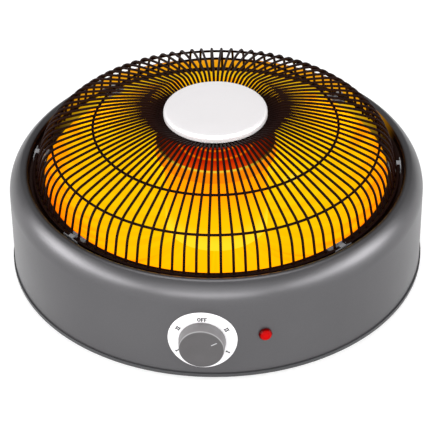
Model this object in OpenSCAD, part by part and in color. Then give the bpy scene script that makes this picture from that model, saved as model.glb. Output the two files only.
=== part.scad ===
// Electric brazier: a low round mains heater with a domed wire guard, standing on the floor.
// Z is the casing's axis, z = 0 is the floor, and the control knob faces -Y.
// Angles round the casing are counted from the front, positive towards +X.

/* [Casing] */
// Outer radius of the casing wall
casing_r = 200; // [190:1:215]
// Height of the casing's crest above the floor
crest_z = 106.5; // [102:0.5:114]
// Radius of the broad shoulder between the wall and the crest
shoulder_r = 28; // [25:1:31]
// Radius of the crest, where the sheet turns down to the guard
crest_r = 5.3; // [4.8:0.1:6.4]
// Angle at which the shoulder runs into the crest
shoulder_a = 52.2; // [48:0.2:57]
// Thickness of the casing sheet
casing_t = 1; // [0.8:0.1:1.4]
// Depth of the inner lip below the crest
lip_drop = 8.5; // [8:0.5:11]
// Width of the inner lip, which carries the guard and the dish
lip_w = 15; // [14.5:0.5:17]

/* [Base] */
// Height of the rubber feet under the base plate
foot_h = 5; // [4.5:0.5:8]
// Radius of a rubber foot
foot_r = 12; // [10:0.5:14]
// Distance of the feet's axes from the casing wall
foot_from_wall = 42; // [35:1:50]
// Thickness of the base plate
base_t = 1.2; // [1:0.1:1.6]
// Height of the base plate's upturned rim
base_rim_h = 3.5; // [3:0.5:5]
// Number of base screws, each with its lug
lugs = 6; // [4:1:8]
// Number of cooling slots in each ring of the base plate
vents = 24; // [16:1:30]
// Width of a cooling slot
vent_w = 4; // [3:0.5:5]
// Length of a cooling slot
vent_l = 18; // [14:1:20]

/* [Guard] */
// Number of bent wires
wires = 96; // [72:4:104]
// Diameter of a bent wire
wire_d = 2.4; // [1.8:0.1:2.5]
// Diameter of the base ring's wire
base_ring_d = 3.6; // [3:0.2:4]
// Gap between the casing and the base ring, where the clips stand
ring_gap = 3.6; // [3:0.2:5]
// Diameter of the outer and inner rings' wire
ring_d = 2.5; // [2:0.1:3]
// Length of a wire's straight leg above the base ring
leg_l = 18; // [15:1:22]
// Lean of the leg, away from upright
leg_lean = 11.7; // [9:0.3:15]
// Radius of the bend between the leg and the crown
bend_r = 30; // [26:1:34]
// Slope of the crown where it leaves the bend
crown_out_a = 22.2; // [20:0.2:24]
// Slope of the crown at its inner end
crown_in_a = 10.5; // [9:0.3:12]
// Distance from the axis of the crown's inner end
crown_in_r = 69; // [66:1:74]
// Radius of the small bend that turns the wire down under the disc
dip_r = 15; // [12:1:18]
// Slope of the wire's inner end
dip_a = 19.3; // [16:0.5:22]
// Distance from the axis of the wires' inner ends
wire_end_r = 44.5; // [43:0.5:46]
// Distance from the axis of the inner ring
inner_ring_r = 117; // [105:1:125]
// Angle round the bend at which the outer ring sits, from level
outer_ring_a = 52; // [46:1:62]
// Turn of the first wire from the front
wire_turn = 1.5; // [0:0.1:3.7]

/* [Centre disc] */
// Radius of the bright centre disc
disc_r = 49.5; // [48:0.5:51]
// Height of the disc's folded rim
disc_h = 7; // [6:0.5:9]
// Radius of the disc's edge
disc_edge_r = 3.5; // [2.5:0.5:4.5]
// Thickness of the disc's sheet
disc_t = 1; // [0.8:0.1:1.2]

/* [Clips] */
// Angle of the first clip on each side of the front
clip_first_a = 46; // [42:0.5:50]
// Angle from one clip to the next
clip_pitch_a = 47; // [45:0.5:52]
// Width of a clip along the ring
clip_w = 20; // [16:1:24]
// Thickness of a clip
clip_t = 1; // [0.8:0.1:1.2]

/* [Reflector] */
// Height of the dish's floor above the base plate
dish_floor_h = 30; // [27:1:33]
// Radius of the dish's flat floor
dish_floor_r = 60; // [56:1:70]
// Thickness of the dish's sheet
dish_t = 0.8; // [0.6:0.1:1]
// Radius of the heat shield under the dish
shield_r = 108; // [105:1:112]
// Thickness of the insulation between dish and shield
felt_t = 7; // [6:0.5:8]

/* [Heater] */
// Outer radius of the radiant drum
drum_r = 50; // [48:1:53]
// Gap between the tie rod and the stud of the centre disc, which sets the drum's height
rod_gap = 5.1; // [3:0.1:9]
// Thickness of the drum's sheet
drum_t = 1; // [0.8:0.1:1.2]
// Radius of the drum cap
cap_r = 58; // [56:1:60]
// Depth of the cap's skirt
cap_skirt_h = 12.6; // [10:0.2:15]
// Diameter of the sheathed elements
element_d = 6; // [5.5:0.1:6.5]
// Radius of the lower element's loop
lower_loop_r = 38; // [36:1:40]
// Height of the lower element's loop above the dish floor
lower_loop_h = 29; // [26:1:34]
// Radius of the upper element's loop
upper_loop_r = 28; // [27:1:29]
// Height of the upper element's loop above the dish floor
upper_loop_h = 61; // [56:1:66]

/* [Controls] */
// Height of the knob's axis above the floor
control_z = 48; // [46:1:52]
// Radius of the dial plate
dial_r = 31.9; // [30:0.1:33]
// Thickness of the dial plate
dial_t = 1.2; // [1:0.1:1.6]
// Radius of the knob
knob_r = 21.7; // [20.5:0.1:23]
// Height of the knob above the dial plate
knob_h = 14; // [12:0.5:18]
// Radius of the switch shaft
shaft_r = 3; // [2.5:0.1:3.2]
// Width of the switch body
switch_w = 34; // [33:1:36]
// Depth of the switch body
switch_l = 24; // [22:1:26]
// Angle of the pilot lamp from the front
lamp_a = 16.4; // [15:0.1:19]
// Height of the lamp's axis above the floor
lamp_z = 51; // [46:1:54]
// Radius of the pilot lamp's lens
lamp_r = 6.3; // [5.8:0.1:7]

/* [Inlet] */
// Height of the inlet gland above the floor
gland_z = 30; // [28:1:36]
// Radius of the gland's bore, for the mains lead
gland_bore_r = 3.6; // [3.2:0.1:4]
// Radius of the gland's threaded stem
gland_stem_r = 6; // [5.5:0.1:6.5]

/* [Hidden] */
$fn = 96;

// Clearances and overruns shared by all the pieces
seat = 0.05;      // between pieces that are screwed or laid together
slip = 0.05;      // radial, round a shaft or a pin
fit = 0.3;        // between pieces that pass each other
weld = 0.3;       // how far a welded wire sinks into its ring
over = 1;         // overrun of a cut
arc_steps = 14;   // steps in a pressed bend of the sheet
wire_fn = 24;     // sides that stand for a ring's round wire
wire_sides = 6;   // sides of a bent wire
bend_rings = 3;   // cross-sections along its bend
crown_rings = 2;  // cross-sections along its crown
small_fn = 40;    // sides that stand for a small round piece

// Heights and radii of the casing
base_z = foot_h;
base_top_z = base_z + base_t;
casing_foot_z = base_top_z + seat;
wall_r = casing_r - casing_t;
wall_top_z = crest_z - crest_r - (shoulder_r - crest_r) * sin(shoulder_a);
shoulder_c = [casing_r - shoulder_r, wall_top_z];
crest_c = shoulder_c + (shoulder_r - crest_r) * [cos(shoulder_a), sin(shoulder_a)];
throat_r = crest_c[0] - crest_r;
lip_z = crest_z - lip_drop;
lip_r = throat_r - lip_w;

// Base plate rim, lugs and screws
rim_in_r = casing_r + seat;
rim_out_r = rim_in_r + base_t;
lug_w = 14;
lug_t = 1.2;
lug_first_a = 180 / lugs;
lug_screw_r = wall_r - lug_w / 2 - lug_t;
screw_r = 1.75;
screw_head_r = 3.2;
screw_head_h = 2.2;
screw_l = 8;
foot_place_r = casing_r - foot_from_wall;
vent_from_wall = 115;
vent_first_r = casing_r - vent_from_wall;
vent_gap = 7;

// Feet
feet = 4;
foot_first_a = 45;
foot_web_t = 2;
foot_recess_gap = 1.4;
foot_recess_r = screw_head_r + foot_recess_gap;
foot_edge = 1.2;

// Guard: the base ring stands on the clips, inside the casing's throat
base_ring_r = throat_r - ring_gap - base_ring_d / 2;
base_ring_z = lip_z + seat + clip_t + seat + base_ring_d / 2;
wire_r = wire_d / 2;
wire_foot = [base_ring_r - base_ring_d / 2 - wire_r + weld, base_ring_z - base_ring_d / 2 + wire_r];
// Headings along a wire in its own plane, counted from outwards
leg_h = 90 + leg_lean;
crown_out_h = 180 - crown_out_a;
crown_in_h = 180 - crown_in_a;
dip_h = 180 + dip_a;
function ahead(h) = [cos(h), sin(h)];
leg_top = wire_foot + leg_l * ahead(leg_h);
bend_c = leg_top + bend_r * ahead(leg_h + 90);
bend_end = bend_c + bend_r * ahead(crown_out_h - 90);
crown_r = (crown_in_r - bend_end[0]) / (cos(crown_in_h - 90) - cos(crown_out_h - 90));
crown_c = bend_end + crown_r * ahead(crown_out_h + 90);
crown_end = crown_c + crown_r * ahead(crown_in_h - 90);
dip_c = crown_end + dip_r * ahead(crown_in_h + 90);
dip_end = dip_c + dip_r * ahead(dip_h - 90);
inner_l = (dip_end[0] - wire_end_r) / cos(dip_a);
wire_end = dip_end + inner_l * ahead(dip_h);
// The two rings lie under the wires
ring_drop = wire_r + ring_d / 2 - weld;
outer_ring_at = bend_c + (bend_r - ring_drop) * ahead(outer_ring_a);
inner_ring_a = acos((inner_ring_r - crown_c[0]) / (crown_r - ring_drop));
inner_ring_at = crown_c + (crown_r - ring_drop) * ahead(inner_ring_a);

// Hub plate under the wires' inner ends, and the disc over them
hub_t = 1.5;
hub_edge = 3;
hub_out_r = disc_r + hub_edge;
hub_flat_r = wire_end_r - hub_edge;
function wire_under_z(r) = wire_end[1] + (r - wire_end_r) * tan(dip_a) - (wire_r - weld) / cos(dip_a);
hub_flat_z = wire_under_z(hub_flat_r);
disc_foot_z = wire_end[1] + (disc_r - wire_end_r) * tan(dip_a) + wire_r / cos(dip_a) + seat;
disc_top_z = disc_foot_z + disc_h;
stud_r = 2.5;
stud_tail = 6;
stud_foot_z = hub_flat_z - hub_t - stud_tail;
stud_l = disc_top_z - disc_t - stud_foot_z;
disc_nut_r = 4.6;
disc_nut_h = 4;

// Clips
clip_out_r = base_ring_r + base_ring_d / 2 + fit + clip_t;
clip_edge = 0.6;
clip_in_r = lip_r + clip_edge;
clip_z = lip_z + seat;
clip_top_z = clip_z + clip_t;
clip_hook_z = base_ring_z + base_ring_d / 2 + seat;
clip_tongue_w = 6;
clip_screw_r = 1.5;
clip_head_r = 2.5;
clip_head_h = 1.9;
clip_screw_l = 7;
clip_wire_gap = 0.4;
clip_screw_at_r = base_ring_r - base_ring_d / 2 - clip_head_r - clip_wire_gap;
wire_pitch_a = 360 / wires;
// The nearest place midway between two wires
function between_wires(a) = wire_turn + (floor((a - wire_turn) / wire_pitch_a) + 0.5) * wire_pitch_a;
clip_angles = [for (s = [-1, 1]) for (i = [0:2]) between_wires(s * (clip_first_a + i * clip_pitch_a))];

// Dish: a flat floor and one round sweep up to the rim under the lip
dish_rim_z = lip_z - casing_t - seat;
dish_rim_edge = 1.5;
dish_rim_in_r = lip_r - dish_rim_edge;
dish_rim_out_r = throat_r - dish_rim_edge;
dish_z = base_z + dish_floor_h;
dish_rise = dish_rim_z - dish_z;
dish_run = dish_rim_in_r - dish_floor_r;
dish_bowl_r = (dish_run * dish_run + dish_rise * dish_rise) / (2 * dish_rise);
dish_bowl_c = [dish_floor_r, dish_z + dish_bowl_r];
dish_rim_a = asin((dish_rim_z - dish_bowl_c[1]) / dish_bowl_r);
dish_rim_under_a = asin((dish_rim_z - dish_t - dish_bowl_c[1]) / (dish_bowl_r + dish_t));
dish_under_z = dish_z - dish_t;
dish_hub_r = 6;

// Insulation, shield and pillars under the dish
shield_t = 1;
felt_r = 76;
felt_z = dish_under_z - seat - felt_t;
shield_z = felt_z - seat - shield_t;
pillars = 3;
pillar_first_a = 60;
pillar_place_r = 60;
pillar_r = 5;
spigot_r = 2.5;
spigot_out = 0.8;

// Drum, cap, ceramics and elements
drum_foot_z = dish_z + seat;
cap_t = 1;
cap_step_h = 1.2;
cap_step_shares = [0.62, 0.41];
rod_nut_h = 4.5;
rod_tail = 3;
rod_top_z = stud_foot_z - rod_gap;
cap_top_z = rod_top_z - rod_tail - rod_nut_h - seat;
cap_under_z = cap_top_z - cap_t - 2 * cap_step_h;
drum_top_z = cap_under_z - seat;
ceramic_gap = 4;
ceramic_base_r = drum_r - drum_t - ceramic_gap;
ceramic_base_h = 8;
ceramic_base_top_z = dish_z + seat + ceramic_base_h;
core_r = 12;
core_step_r = 16;
core_step_h = 6;
element_r = element_d / 2;
element_bend_r = 8;
element_gap_a = 28;
element_sides = 12;
element_bend_steps = 3;
element_loop_steps = 20;
element_leg_out = 6;
element_leg_foot_z = shield_z - element_leg_out;
pin_r = 1.25;
pin_l = 6.5;
pin_foot_z = element_leg_foot_z - pin_l;
bush_t = 1.6;
bush_l = 14;
bush_hole_r = element_r + slip + bush_t + slip;
rod_r = 3;
rod_nut_r = 5.7;
rod_foot_z = shield_z - seat - rod_nut_h - rod_tail;

// Thermal cut-out under the shield
cutout_at = [-92, 0];
cutout_r = 8;
cutout_h = 9;
cutout_ear_l = 32;
cutout_ear_w = 8;
cutout_ear_t = 0.8;
cutout_screw_at = 12;
small_screw_r = 1.4;
small_head_r = 2.4;
small_head_h = 1.6;
small_screw_l = 4;
tab_t = 0.8;
tab_w = 6.3;
tab_l = 8;
cutout_tab_drop = 6.4;

// Knob and switch, on the front wall
knob_gap = 0.8;
knob_back = casing_r + dial_t + knob_gap;
knob_face = knob_back + knob_h;
knob_wall = 1.6;
knob_top_t = 2.6;
knob_bevel = 0.8;
knob_boss_r = 6.5;
shaft_flat = 0.7;
pointer_a = 30;
pointer_w = 1.1;
pointer_l = 6.2;
pointer_t = 0.6;
pointer_in_r = knob_r / 2;
switch_front = sqrt(wall_r * wall_r - switch_w * switch_w / 4) - seat;
switch_back = switch_front - switch_l;
switch_wall = 2.5;
switch_nose_t = 4;
switch_arm_w = switch_w / 2;
cover_t = 4;
cam_r = 10.2;
cam_lobe_r = 1.6;
cam_l = 12;
contact_t = 0.6;
contact_w = 5;
contact_gap = 2.2;
contact_r = cam_r + contact_gap;
contact_l = 17;
switch_screw_at = 11.5;
switch_screw_l = 12;
shaft_tail = 2;
knob_top_l = 4.6;
shaft_in_knob = knob_h - knob_top_l;
shaft_hole_r = shaft_r + 2 * fit + over;
shaft_foot = switch_back - cover_t - shaft_tail;
cam_foot = switch_back + (switch_l - switch_nose_t - cam_l) / 2;
switch_screw_seat = sqrt(pow(casing_r + seat + dial_t, 2) - pow(switch_screw_at - small_head_r, 2)) + seat;

// Pilot lamp, on the front wall
lamp_flange_h = 2.4;
lamp_dome_h = 2;
lamp_dome_share = 0.62;
lamp_stem_r = 3.3;
lamp_stem_l = 6;
lamp_tube_r = 4.9;
lamp_tube_t = 1.2;
lamp_tube_l = 24;
lamp_nut_r = 8;
lamp_nut_h = 3;
lamp_seat = casing_r + seat;
lamp_tube_back = lamp_seat - lamp_tube_l;
lamp_nut_face = sqrt(wall_r * wall_r - lamp_nut_r * lamp_nut_r) - seat;
lamp_tab_at = 4;
lamp_tab_w = 2.8;
bulb_r = 2.6;
bulb_l = 10;

// Push-on connectors
conn_l = 10;
conn_wall = 0.7;
conn_on = 6;

// Terminal block and inner fasteners, on the base plate
block_from_wall = 50;
block_at = [0, casing_r - block_from_wall];
block_l = 48;
block_d = 22;
block_h = 15;
block_top_z = base_top_z + seat + block_h;
poles = 4;
pole_pitch = 12;
pole_h = 5.8;
pole_z = base_top_z + pole_h;
pole_r = 2.2;
pole_screw_r = 1.9;
pole_screw_in = 6;
stud_from_wall = 60;
stud_at = [50, casing_r - stud_from_wall];
stud_thread_r = 2;
stud_head_r = 3.6;
stud_head_h = 1.9;
stud_h = 12;
stud_top_z = base_top_z + stud_h;
nut_gap = 3.6;
stud_nut_r = 4.1;
stud_nut_h = 3.2;

// Inlet gland in the rear wall. It stands out as far as the knob, so the heater sits centred on its origin.
gland_face = knob_face;
gland_flange_r = 9.6;
gland_flange_h = 5;
gland_nut_h = gland_face - casing_r - gland_flange_h - 2 * seat;
gland_nut_end_t = 3;
gland_neck_l = gland_nut_h - gland_nut_end_t;
gland_stem_in = 11;
gland_throat_out = 1;
gland_in_r = gland_bore_r + 1;
gland_stem_l = gland_stem_in + gland_flange_h + gland_neck_l;
gland_locknut_h = 4;
gland_locknut_face = sqrt(wall_r * wall_r - gland_flange_r * gland_flange_r) - seat;

// Inner leads
lead_d = 3;
lead_fn = 8;
lead_step = 7;

// Places a child, drawn along its own Z, square to the wall: its Z then points outwards
module on_wall(a, z) translate([0, 0, z]) rotate([0, 0, a]) rotate([90, 0, 0]) children();
// Turns +X to the given angle from the front
module at_angle(a) rotate([0, 0, a - 90]) children();
module at_radius(r, a) at_angle(a) translate([r, 0, 0]) children();
module tube(r_out, r_in, h) difference() {
    cylinder(r = r_out, h = h);
    translate([0, 0, -over]) cylinder(r = r_in, h = h + 2 * over);
}
module hex(r, h, hole_r) difference() {
    cylinder(r = r, h = h, $fn = 6);
    translate([0, 0, -over]) cylinder(r = hole_r, h = h + 2 * over, $fn = small_fn);
}
// A slotted pan head screw: the head's seat is at z = 0 and the shank runs down
module screw(r, l, head_r, head_h) difference() {
    union() {
        translate([0, 0, -l]) cylinder(r = r, h = l, $fn = small_fn);
        cylinder(r = head_r, h = head_h, $fn = small_fn);
    }
    translate([-head_r, -head_h / 6, head_h / 2]) cube([2 * head_r, head_h / 3, head_h]);
}
function bend_points(c, r, a0, a1) =
    [for (i = [0:arc_steps]) c + r * ahead(a0 + (a1 - a0) * i / arc_steps)];
function rest(list) = [for (i = [1:len(list) - 1]) list[i]];

// Casing and base
module casing_section() polygon(concat(
    [[casing_r, casing_foot_z]],
    bend_points(shoulder_c, shoulder_r, 0, shoulder_a),
    rest(bend_points(crest_c, crest_r, shoulder_a, 180)),
    [[throat_r, lip_z], [lip_r, lip_z], [lip_r, lip_z - casing_t], [throat_r + casing_t, lip_z - casing_t]],
    bend_points(crest_c, crest_r - casing_t, 180, shoulder_a),
    rest(bend_points(shoulder_c, shoulder_r - casing_t, shoulder_a, 0)),
    [[wall_r, casing_foot_z]]));

module outer_casing() color([0.42, 0.42, 0.43]) difference() {
    rotate_extrude($fn = 180) casing_section();
    on_wall(0, control_z) wall_hole(shaft_hole_r);
    on_wall(0, control_z) switch_screw_places() wall_hole(small_screw_r + slip);
    on_wall(lamp_a, lamp_z) wall_hole(lamp_tube_r + slip);
    on_wall(180, gland_z) wall_hole(gland_stem_r + slip);
    for (a = clip_angles) at_radius(clip_screw_at_r, a)
        translate([0, 0, lip_z - casing_t - over])
            cylinder(r = clip_screw_r + slip, h = casing_t + 2 * over, $fn = small_fn);
}
module wall_hole(r) translate([0, 0, wall_r - 4 * over])
    cylinder(r = r, h = casing_t + 8 * over, $fn = small_fn);

module base_plate() color([0.2, 0.2, 0.21]) difference() {
    union() {
        translate([0, 0, base_z]) cylinder(r = rim_out_r, h = base_t, $fn = 180);
        translate([0, 0, base_z]) tube(rim_out_r, rim_in_r, base_rim_h, $fn = 180);
    }
    for (i = [0:lugs - 1]) at_radius(lug_screw_r, lug_first_a + i * 360 / lugs) base_hole(screw_r + slip);
    for (i = [0:feet - 1]) at_radius(foot_place_r, foot_first_a + i * 360 / feet) base_hole(screw_r + slip);
    for (i = [0:pillars - 1]) at_radius(pillar_place_r, pillar_first_a + i * 360 / pillars)
        base_hole(spigot_r + slip);
    for (i = [0:vents - 1], ring = [0, 1])
        at_radius(vent_first_r + ring * (vent_l + vent_gap), (i + 0.5) * 360 / vents) vent_slot();
    translate(stud_at) base_hole(stud_thread_r + slip);
    translate(block_at) base_hole(small_screw_r + slip);
}
module base_hole(r) translate([0, 0, base_z - over]) cylinder(r = r, h = base_t + 2 * over, $fn = small_fn);
module vent_slot() {
    base_hole(vent_w / 2);
    translate([vent_l - vent_w, 0, 0]) base_hole(vent_w / 2);
    translate([0, -vent_w / 2, base_z - over]) cube([vent_l - vent_w, vent_w, base_t + 2 * over]);
}

module base_lugs() color([0.62, 0.62, 0.64]) for (i = [0:lugs - 1])
    at_radius(wall_r - lug_w, lug_first_a + i * 360 / lugs) translate([0, -lug_w / 2, base_top_z + seat])
        lug();
// Its upright leg is cut to the wall's curve, where it is welded
module lug() difference() {
    union() {
        cube([lug_w, lug_w, lug_t]);
        translate([lug_w - 2 * lug_t, 0, 0]) cube([2 * lug_t, lug_w, lug_w]);
    }
    translate([lug_w - wall_r, lug_w / 2, -over])
        tube(wall_r + lug_w, wall_r - seat, lug_w + 2 * over, $fn = 180);
    translate([lug_w - wall_r + lug_screw_r, lug_w / 2, -over])
        cylinder(r = screw_r + slip, h = lug_t + 2 * over, $fn = small_fn);
}
module base_screws() color([0.72, 0.72, 0.74]) for (i = [0:lugs - 1])
    at_radius(lug_screw_r, lug_first_a + i * 360 / lugs)
        translate([0, 0, base_z - seat]) rotate([180, 0, 0])
            screw(screw_r, screw_l, screw_head_r, screw_head_h);

module rubber_feet() color([0.08, 0.08, 0.08]) for (i = [0:feet - 1])
    at_radius(foot_place_r, foot_first_a + i * 360 / feet) rotate_extrude() polygon([
        [screw_r + slip, base_z - seat], [foot_r, base_z - seat],
        [foot_r, foot_edge], [foot_r - foot_edge, 0],
        [foot_recess_r, 0], [foot_recess_r, base_z - foot_web_t], [screw_r + slip, base_z - foot_web_t]]);
module foot_screws() color([0.72, 0.72, 0.74]) for (i = [0:feet - 1])
    at_radius(foot_place_r, foot_first_a + i * 360 / feet)
        translate([0, 0, base_z - foot_web_t - seat]) rotate([180, 0, 0])
            screw(screw_r, screw_l, screw_head_r, screw_head_h);

// Guard
module wire_ring(p, d) rotate_extrude($fn = 180) translate(p) circle(d = d, $fn = wire_fn);
module guard_base_ring() color([0.07, 0.05, 0.05]) wire_ring([base_ring_r, base_ring_z], base_ring_d);
module guard_outer_ring() color([0.07, 0.05, 0.05]) wire_ring(outer_ring_at, ring_d);
module guard_inner_ring() color([0.07, 0.05, 0.05]) wire_ring(inner_ring_at, ring_d);
// A bent wire in the XZ plane: a straight leg, the bend, the long crown, and the dip under the disc
function arc_ends(c, r, h0, h1, steps) =
    [for (i = [1:steps]) c + r * ahead(h0 - 90 + (h1 - h0) * i / steps)];
wire_line = concat([wire_foot, leg_top],
    arc_ends(bend_c, bend_r, leg_h, crown_out_h, bend_rings),
    arc_ends(crown_c, crown_r, crown_out_h, crown_in_h, crown_rings),
    arc_ends(dip_c, dip_r, crown_in_h, dip_h, 1), [wire_end]);
module guard_wires() color([0.07, 0.05, 0.05]) for (i = [0:wires - 1])
    at_angle(wire_turn + i * wire_pitch_a) sweep([for (p = wire_line) [p[0], 0, p[1]]], wire_d, wire_sides);

module guard_hub_plate() color([0.07, 0.05, 0.05]) rotate_extrude() polygon([
    [stud_r + slip, hub_flat_z - hub_t], [hub_flat_r, hub_flat_z - hub_t],
    [hub_out_r, wire_under_z(hub_out_r) - hub_t], [hub_out_r, wire_under_z(hub_out_r)],
    [hub_flat_r, hub_flat_z], [stud_r + slip, hub_flat_z]]);
module centre_disc() color([0.93, 0.93, 0.94]) rotate_extrude($fn = 128) polygon(concat(
    [[0, disc_top_z], [0, disc_top_z - disc_t - stud_l], [stud_r, disc_top_z - disc_t - stud_l],
     [stud_r, disc_top_z - disc_t]],
    bend_points([disc_r - disc_edge_r, disc_top_z - disc_edge_r], disc_edge_r - disc_t, 90, 0),
    [[disc_r - disc_t, disc_foot_z], [disc_r, disc_foot_z]],
    bend_points([disc_r - disc_edge_r, disc_top_z - disc_edge_r], disc_edge_r, 0, 90)));
module centre_disc_nut() color([0.72, 0.72, 0.74])
    translate([0, 0, hub_flat_z - hub_t - seat - disc_nut_h]) hex(disc_nut_r, disc_nut_h, stud_r + slip);

// A clip lies under the base ring, turns up outside it and folds a tongue over it
module guard_clips() color([0.86, 0.86, 0.88]) for (a = clip_angles) at_angle(a) difference() {
    union() {
        translate([clip_in_r, -clip_w / 2, clip_z]) cube([clip_out_r - clip_in_r, clip_w, clip_t]);
        translate([clip_out_r - clip_t, -clip_w / 2, clip_z])
            cube([clip_t, clip_w, clip_hook_z - clip_z]);
        translate([clip_out_r - clip_t, -clip_tongue_w / 2, clip_z])
            cube([clip_t, clip_tongue_w, clip_hook_z + clip_t - clip_z]);
        translate([base_ring_r - wire_r, -clip_tongue_w / 2, clip_hook_z])
            cube([clip_out_r - base_ring_r + wire_r, clip_tongue_w, clip_t]);
    }
    translate([clip_screw_at_r, 0, clip_z - over])
        cylinder(r = clip_screw_r + slip, h = clip_t + 2 * over, $fn = small_fn);
    translate([0, 0, clip_z - over])
        tube(casing_r, clip_out_r, clip_hook_z + clip_t - clip_z + 2 * over, $fn = 180);
}
module clip_screws() color([0.86, 0.86, 0.88]) for (a = clip_angles) at_radius(clip_screw_at_r, a)
    translate([0, 0, clip_top_z + seat]) screw(clip_screw_r, clip_screw_l, clip_head_r, clip_head_h);

// Reflector, insulation and shield
module reflector_dish() color([1, 0.72, 0.15]) difference() {
    rotate_extrude($fn = 180) polygon(concat(
        [[dish_hub_r, dish_z]],
        bend_points(dish_bowl_c, dish_bowl_r, -90, dish_rim_a),
        [[dish_rim_out_r, dish_rim_z], [dish_rim_out_r, dish_rim_z - dish_t]],
        bend_points(dish_bowl_c, dish_bowl_r + dish_t, dish_rim_under_a, -90),
        [[dish_hub_r, dish_under_z]]));
    for (a = clip_angles) at_radius(clip_screw_at_r, a)
        translate([0, 0, dish_rim_z - dish_t - over])
            cylinder(r = clip_screw_r + slip, h = dish_t + 2 * over, $fn = small_fn);
    leg_places() translate([0, 0, dish_under_z - over])
        cylinder(r = bush_hole_r, h = dish_t + 2 * over, $fn = small_fn);
}
module insulation_disc() color([0.9, 0.88, 0.82]) translate([0, 0, felt_z]) difference() {
    tube(felt_r, dish_hub_r, felt_t);
    leg_places() translate([0, 0, -over]) cylinder(r = bush_hole_r, h = felt_t + 2 * over, $fn = small_fn);
}
module heat_shield() color([0.7, 0.71, 0.73]) translate([0, 0, shield_z]) difference() {
    tube(shield_r, rod_r + slip, shield_t);
    leg_places() shield_hole(bush_hole_r);
    for (i = [0:pillars - 1]) at_radius(pillar_place_r, pillar_first_a + i * 360 / pillars)
        shield_hole(spigot_r + slip);
    cutout_screw_places() shield_hole(small_screw_r + slip);
}
module shield_hole(r) translate([0, 0, -over]) cylinder(r = r, h = shield_t + 2 * over, $fn = small_fn);
module shield_pillars() color([0.72, 0.72, 0.74]) for (i = [0:pillars - 1])
    at_radius(pillar_place_r, pillar_first_a + i * 360 / pillars) union() {
        translate([0, 0, base_z - spigot_out])
            cylinder(r = spigot_r, h = shield_z + shield_t + spigot_out - base_z, $fn = small_fn);
        translate([0, 0, base_top_z + seat])
            cylinder(r = pillar_r, h = shield_z - base_top_z - 2 * seat, $fn = small_fn);
    }

// Heater drum and its inside
module radiant_drum() color([1, 0.6, 0.05]) translate([0, 0, drum_foot_z])
    tube(drum_r, drum_r - drum_t, drum_top_z - drum_foot_z);
module drum_cap() color([0.7, 0.1, 0.03]) rotate_extrude() polygon([
    [rod_r + slip, cap_top_z], [cap_r * cap_step_shares[1], cap_top_z],
    [cap_r * cap_step_shares[1], cap_top_z - cap_step_h],
    [cap_r * cap_step_shares[0], cap_top_z - cap_step_h],
    [cap_r * cap_step_shares[0], cap_under_z + cap_t], [cap_r, cap_under_z + cap_t],
    [cap_r, cap_under_z + cap_t - cap_skirt_h], [cap_r - cap_t, cap_under_z + cap_t - cap_skirt_h],
    [cap_r - cap_t, cap_under_z], [core_r, cap_under_z], [core_r, cap_under_z + cap_step_h],
    [rod_r + slip, cap_under_z + cap_step_h]]);
module ceramic_base() color([0.93, 0.92, 0.88]) translate([0, 0, dish_z + seat]) difference() {
    tube(ceramic_base_r, rod_r + fit, ceramic_base_h);
    leg_places() translate([0, 0, -over])
        cylinder(r = element_r + slip, h = ceramic_base_h + 2 * over, $fn = small_fn);
}
module ceramic_core() color([0.93, 0.92, 0.88]) difference() {
    union() {
        translate([0, 0, ceramic_base_top_z + seat]) cylinder(r = core_step_r, h = core_step_h);
        translate([0, 0, ceramic_base_top_z + seat])
            cylinder(r = core_r - slip, h = cap_under_z + cap_step_h - ceramic_base_top_z - 2 * seat);
    }
    cylinder(r = rod_r + fit, h = cap_top_z);
}

// A sheathed element: an open loop whose two ends turn down into straight legs, each with its pin
function leg_x(loop_r) = loop_r * cos(element_gap_a) + element_bend_r * sin(element_gap_a);
function leg_y(loop_r) = loop_r * sin(element_gap_a) - element_bend_r * cos(element_gap_a);
function loop_end(loop_r, loop_z) = concat([[leg_x(loop_r), leg_y(loop_r), element_leg_foot_z]],
    [for (i = [0:element_bend_steps]) let (h = 90 - i * 90 / element_bend_steps)
        [loop_r * cos(element_gap_a), loop_r * sin(element_gap_a), loop_z - element_bend_r]
        + element_bend_r * [sin(h) * sin(element_gap_a), -sin(h) * cos(element_gap_a), cos(h)]]);
function mirrored(list) = [for (i = [len(list) - 1:-1:0]) [list[i][0], -list[i][1], list[i][2]]];
module element(loop_r, loop_z) {
    sweep(concat(loop_end(loop_r, loop_z),
        [for (i = [1:element_loop_steps - 1])
            let (a = element_gap_a + (360 - 2 * element_gap_a) * i / element_loop_steps)
            [loop_r * cos(a), loop_r * sin(a), loop_z]],
        mirrored(loop_end(loop_r, loop_z))), element_d, element_sides);
    for (s = [-1, 1]) translate([leg_x(loop_r), s * leg_y(loop_r), pin_foot_z])
        cylinder(r = pin_r, h = element_leg_foot_z - pin_foot_z + over, $fn = small_fn);
}
module lower_element() color([0.5, 0.2, 0.12]) at_angle(0) element(lower_loop_r, dish_z + lower_loop_h);
module upper_element() color([0.5, 0.2, 0.12]) at_angle(180) element(upper_loop_r, dish_z + upper_loop_h);
module leg_places() for (s = [-1, 1]) {
    at_angle(0) translate([leg_x(lower_loop_r), s * leg_y(lower_loop_r), 0]) children();
    at_angle(180) translate([leg_x(upper_loop_r), s * leg_y(upper_loop_r), 0]) children();
}
module ceramic_bushes() color([0.93, 0.92, 0.88]) leg_places()
    translate([0, 0, dish_z - bush_l])
        tube(element_r + slip + bush_t, element_r + slip, bush_l, $fn = small_fn);

module tie_rod() color([0.72, 0.72, 0.74]) translate([0, 0, rod_foot_z])
    cylinder(r = rod_r, h = rod_top_z - rod_foot_z, $fn = small_fn);
module tie_rod_nuts() color([0.72, 0.72, 0.74]) for (z = [cap_top_z + seat, shield_z - seat - rod_nut_h])
    translate([0, 0, z]) hex(rod_nut_r, rod_nut_h, rod_r + slip);

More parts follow.
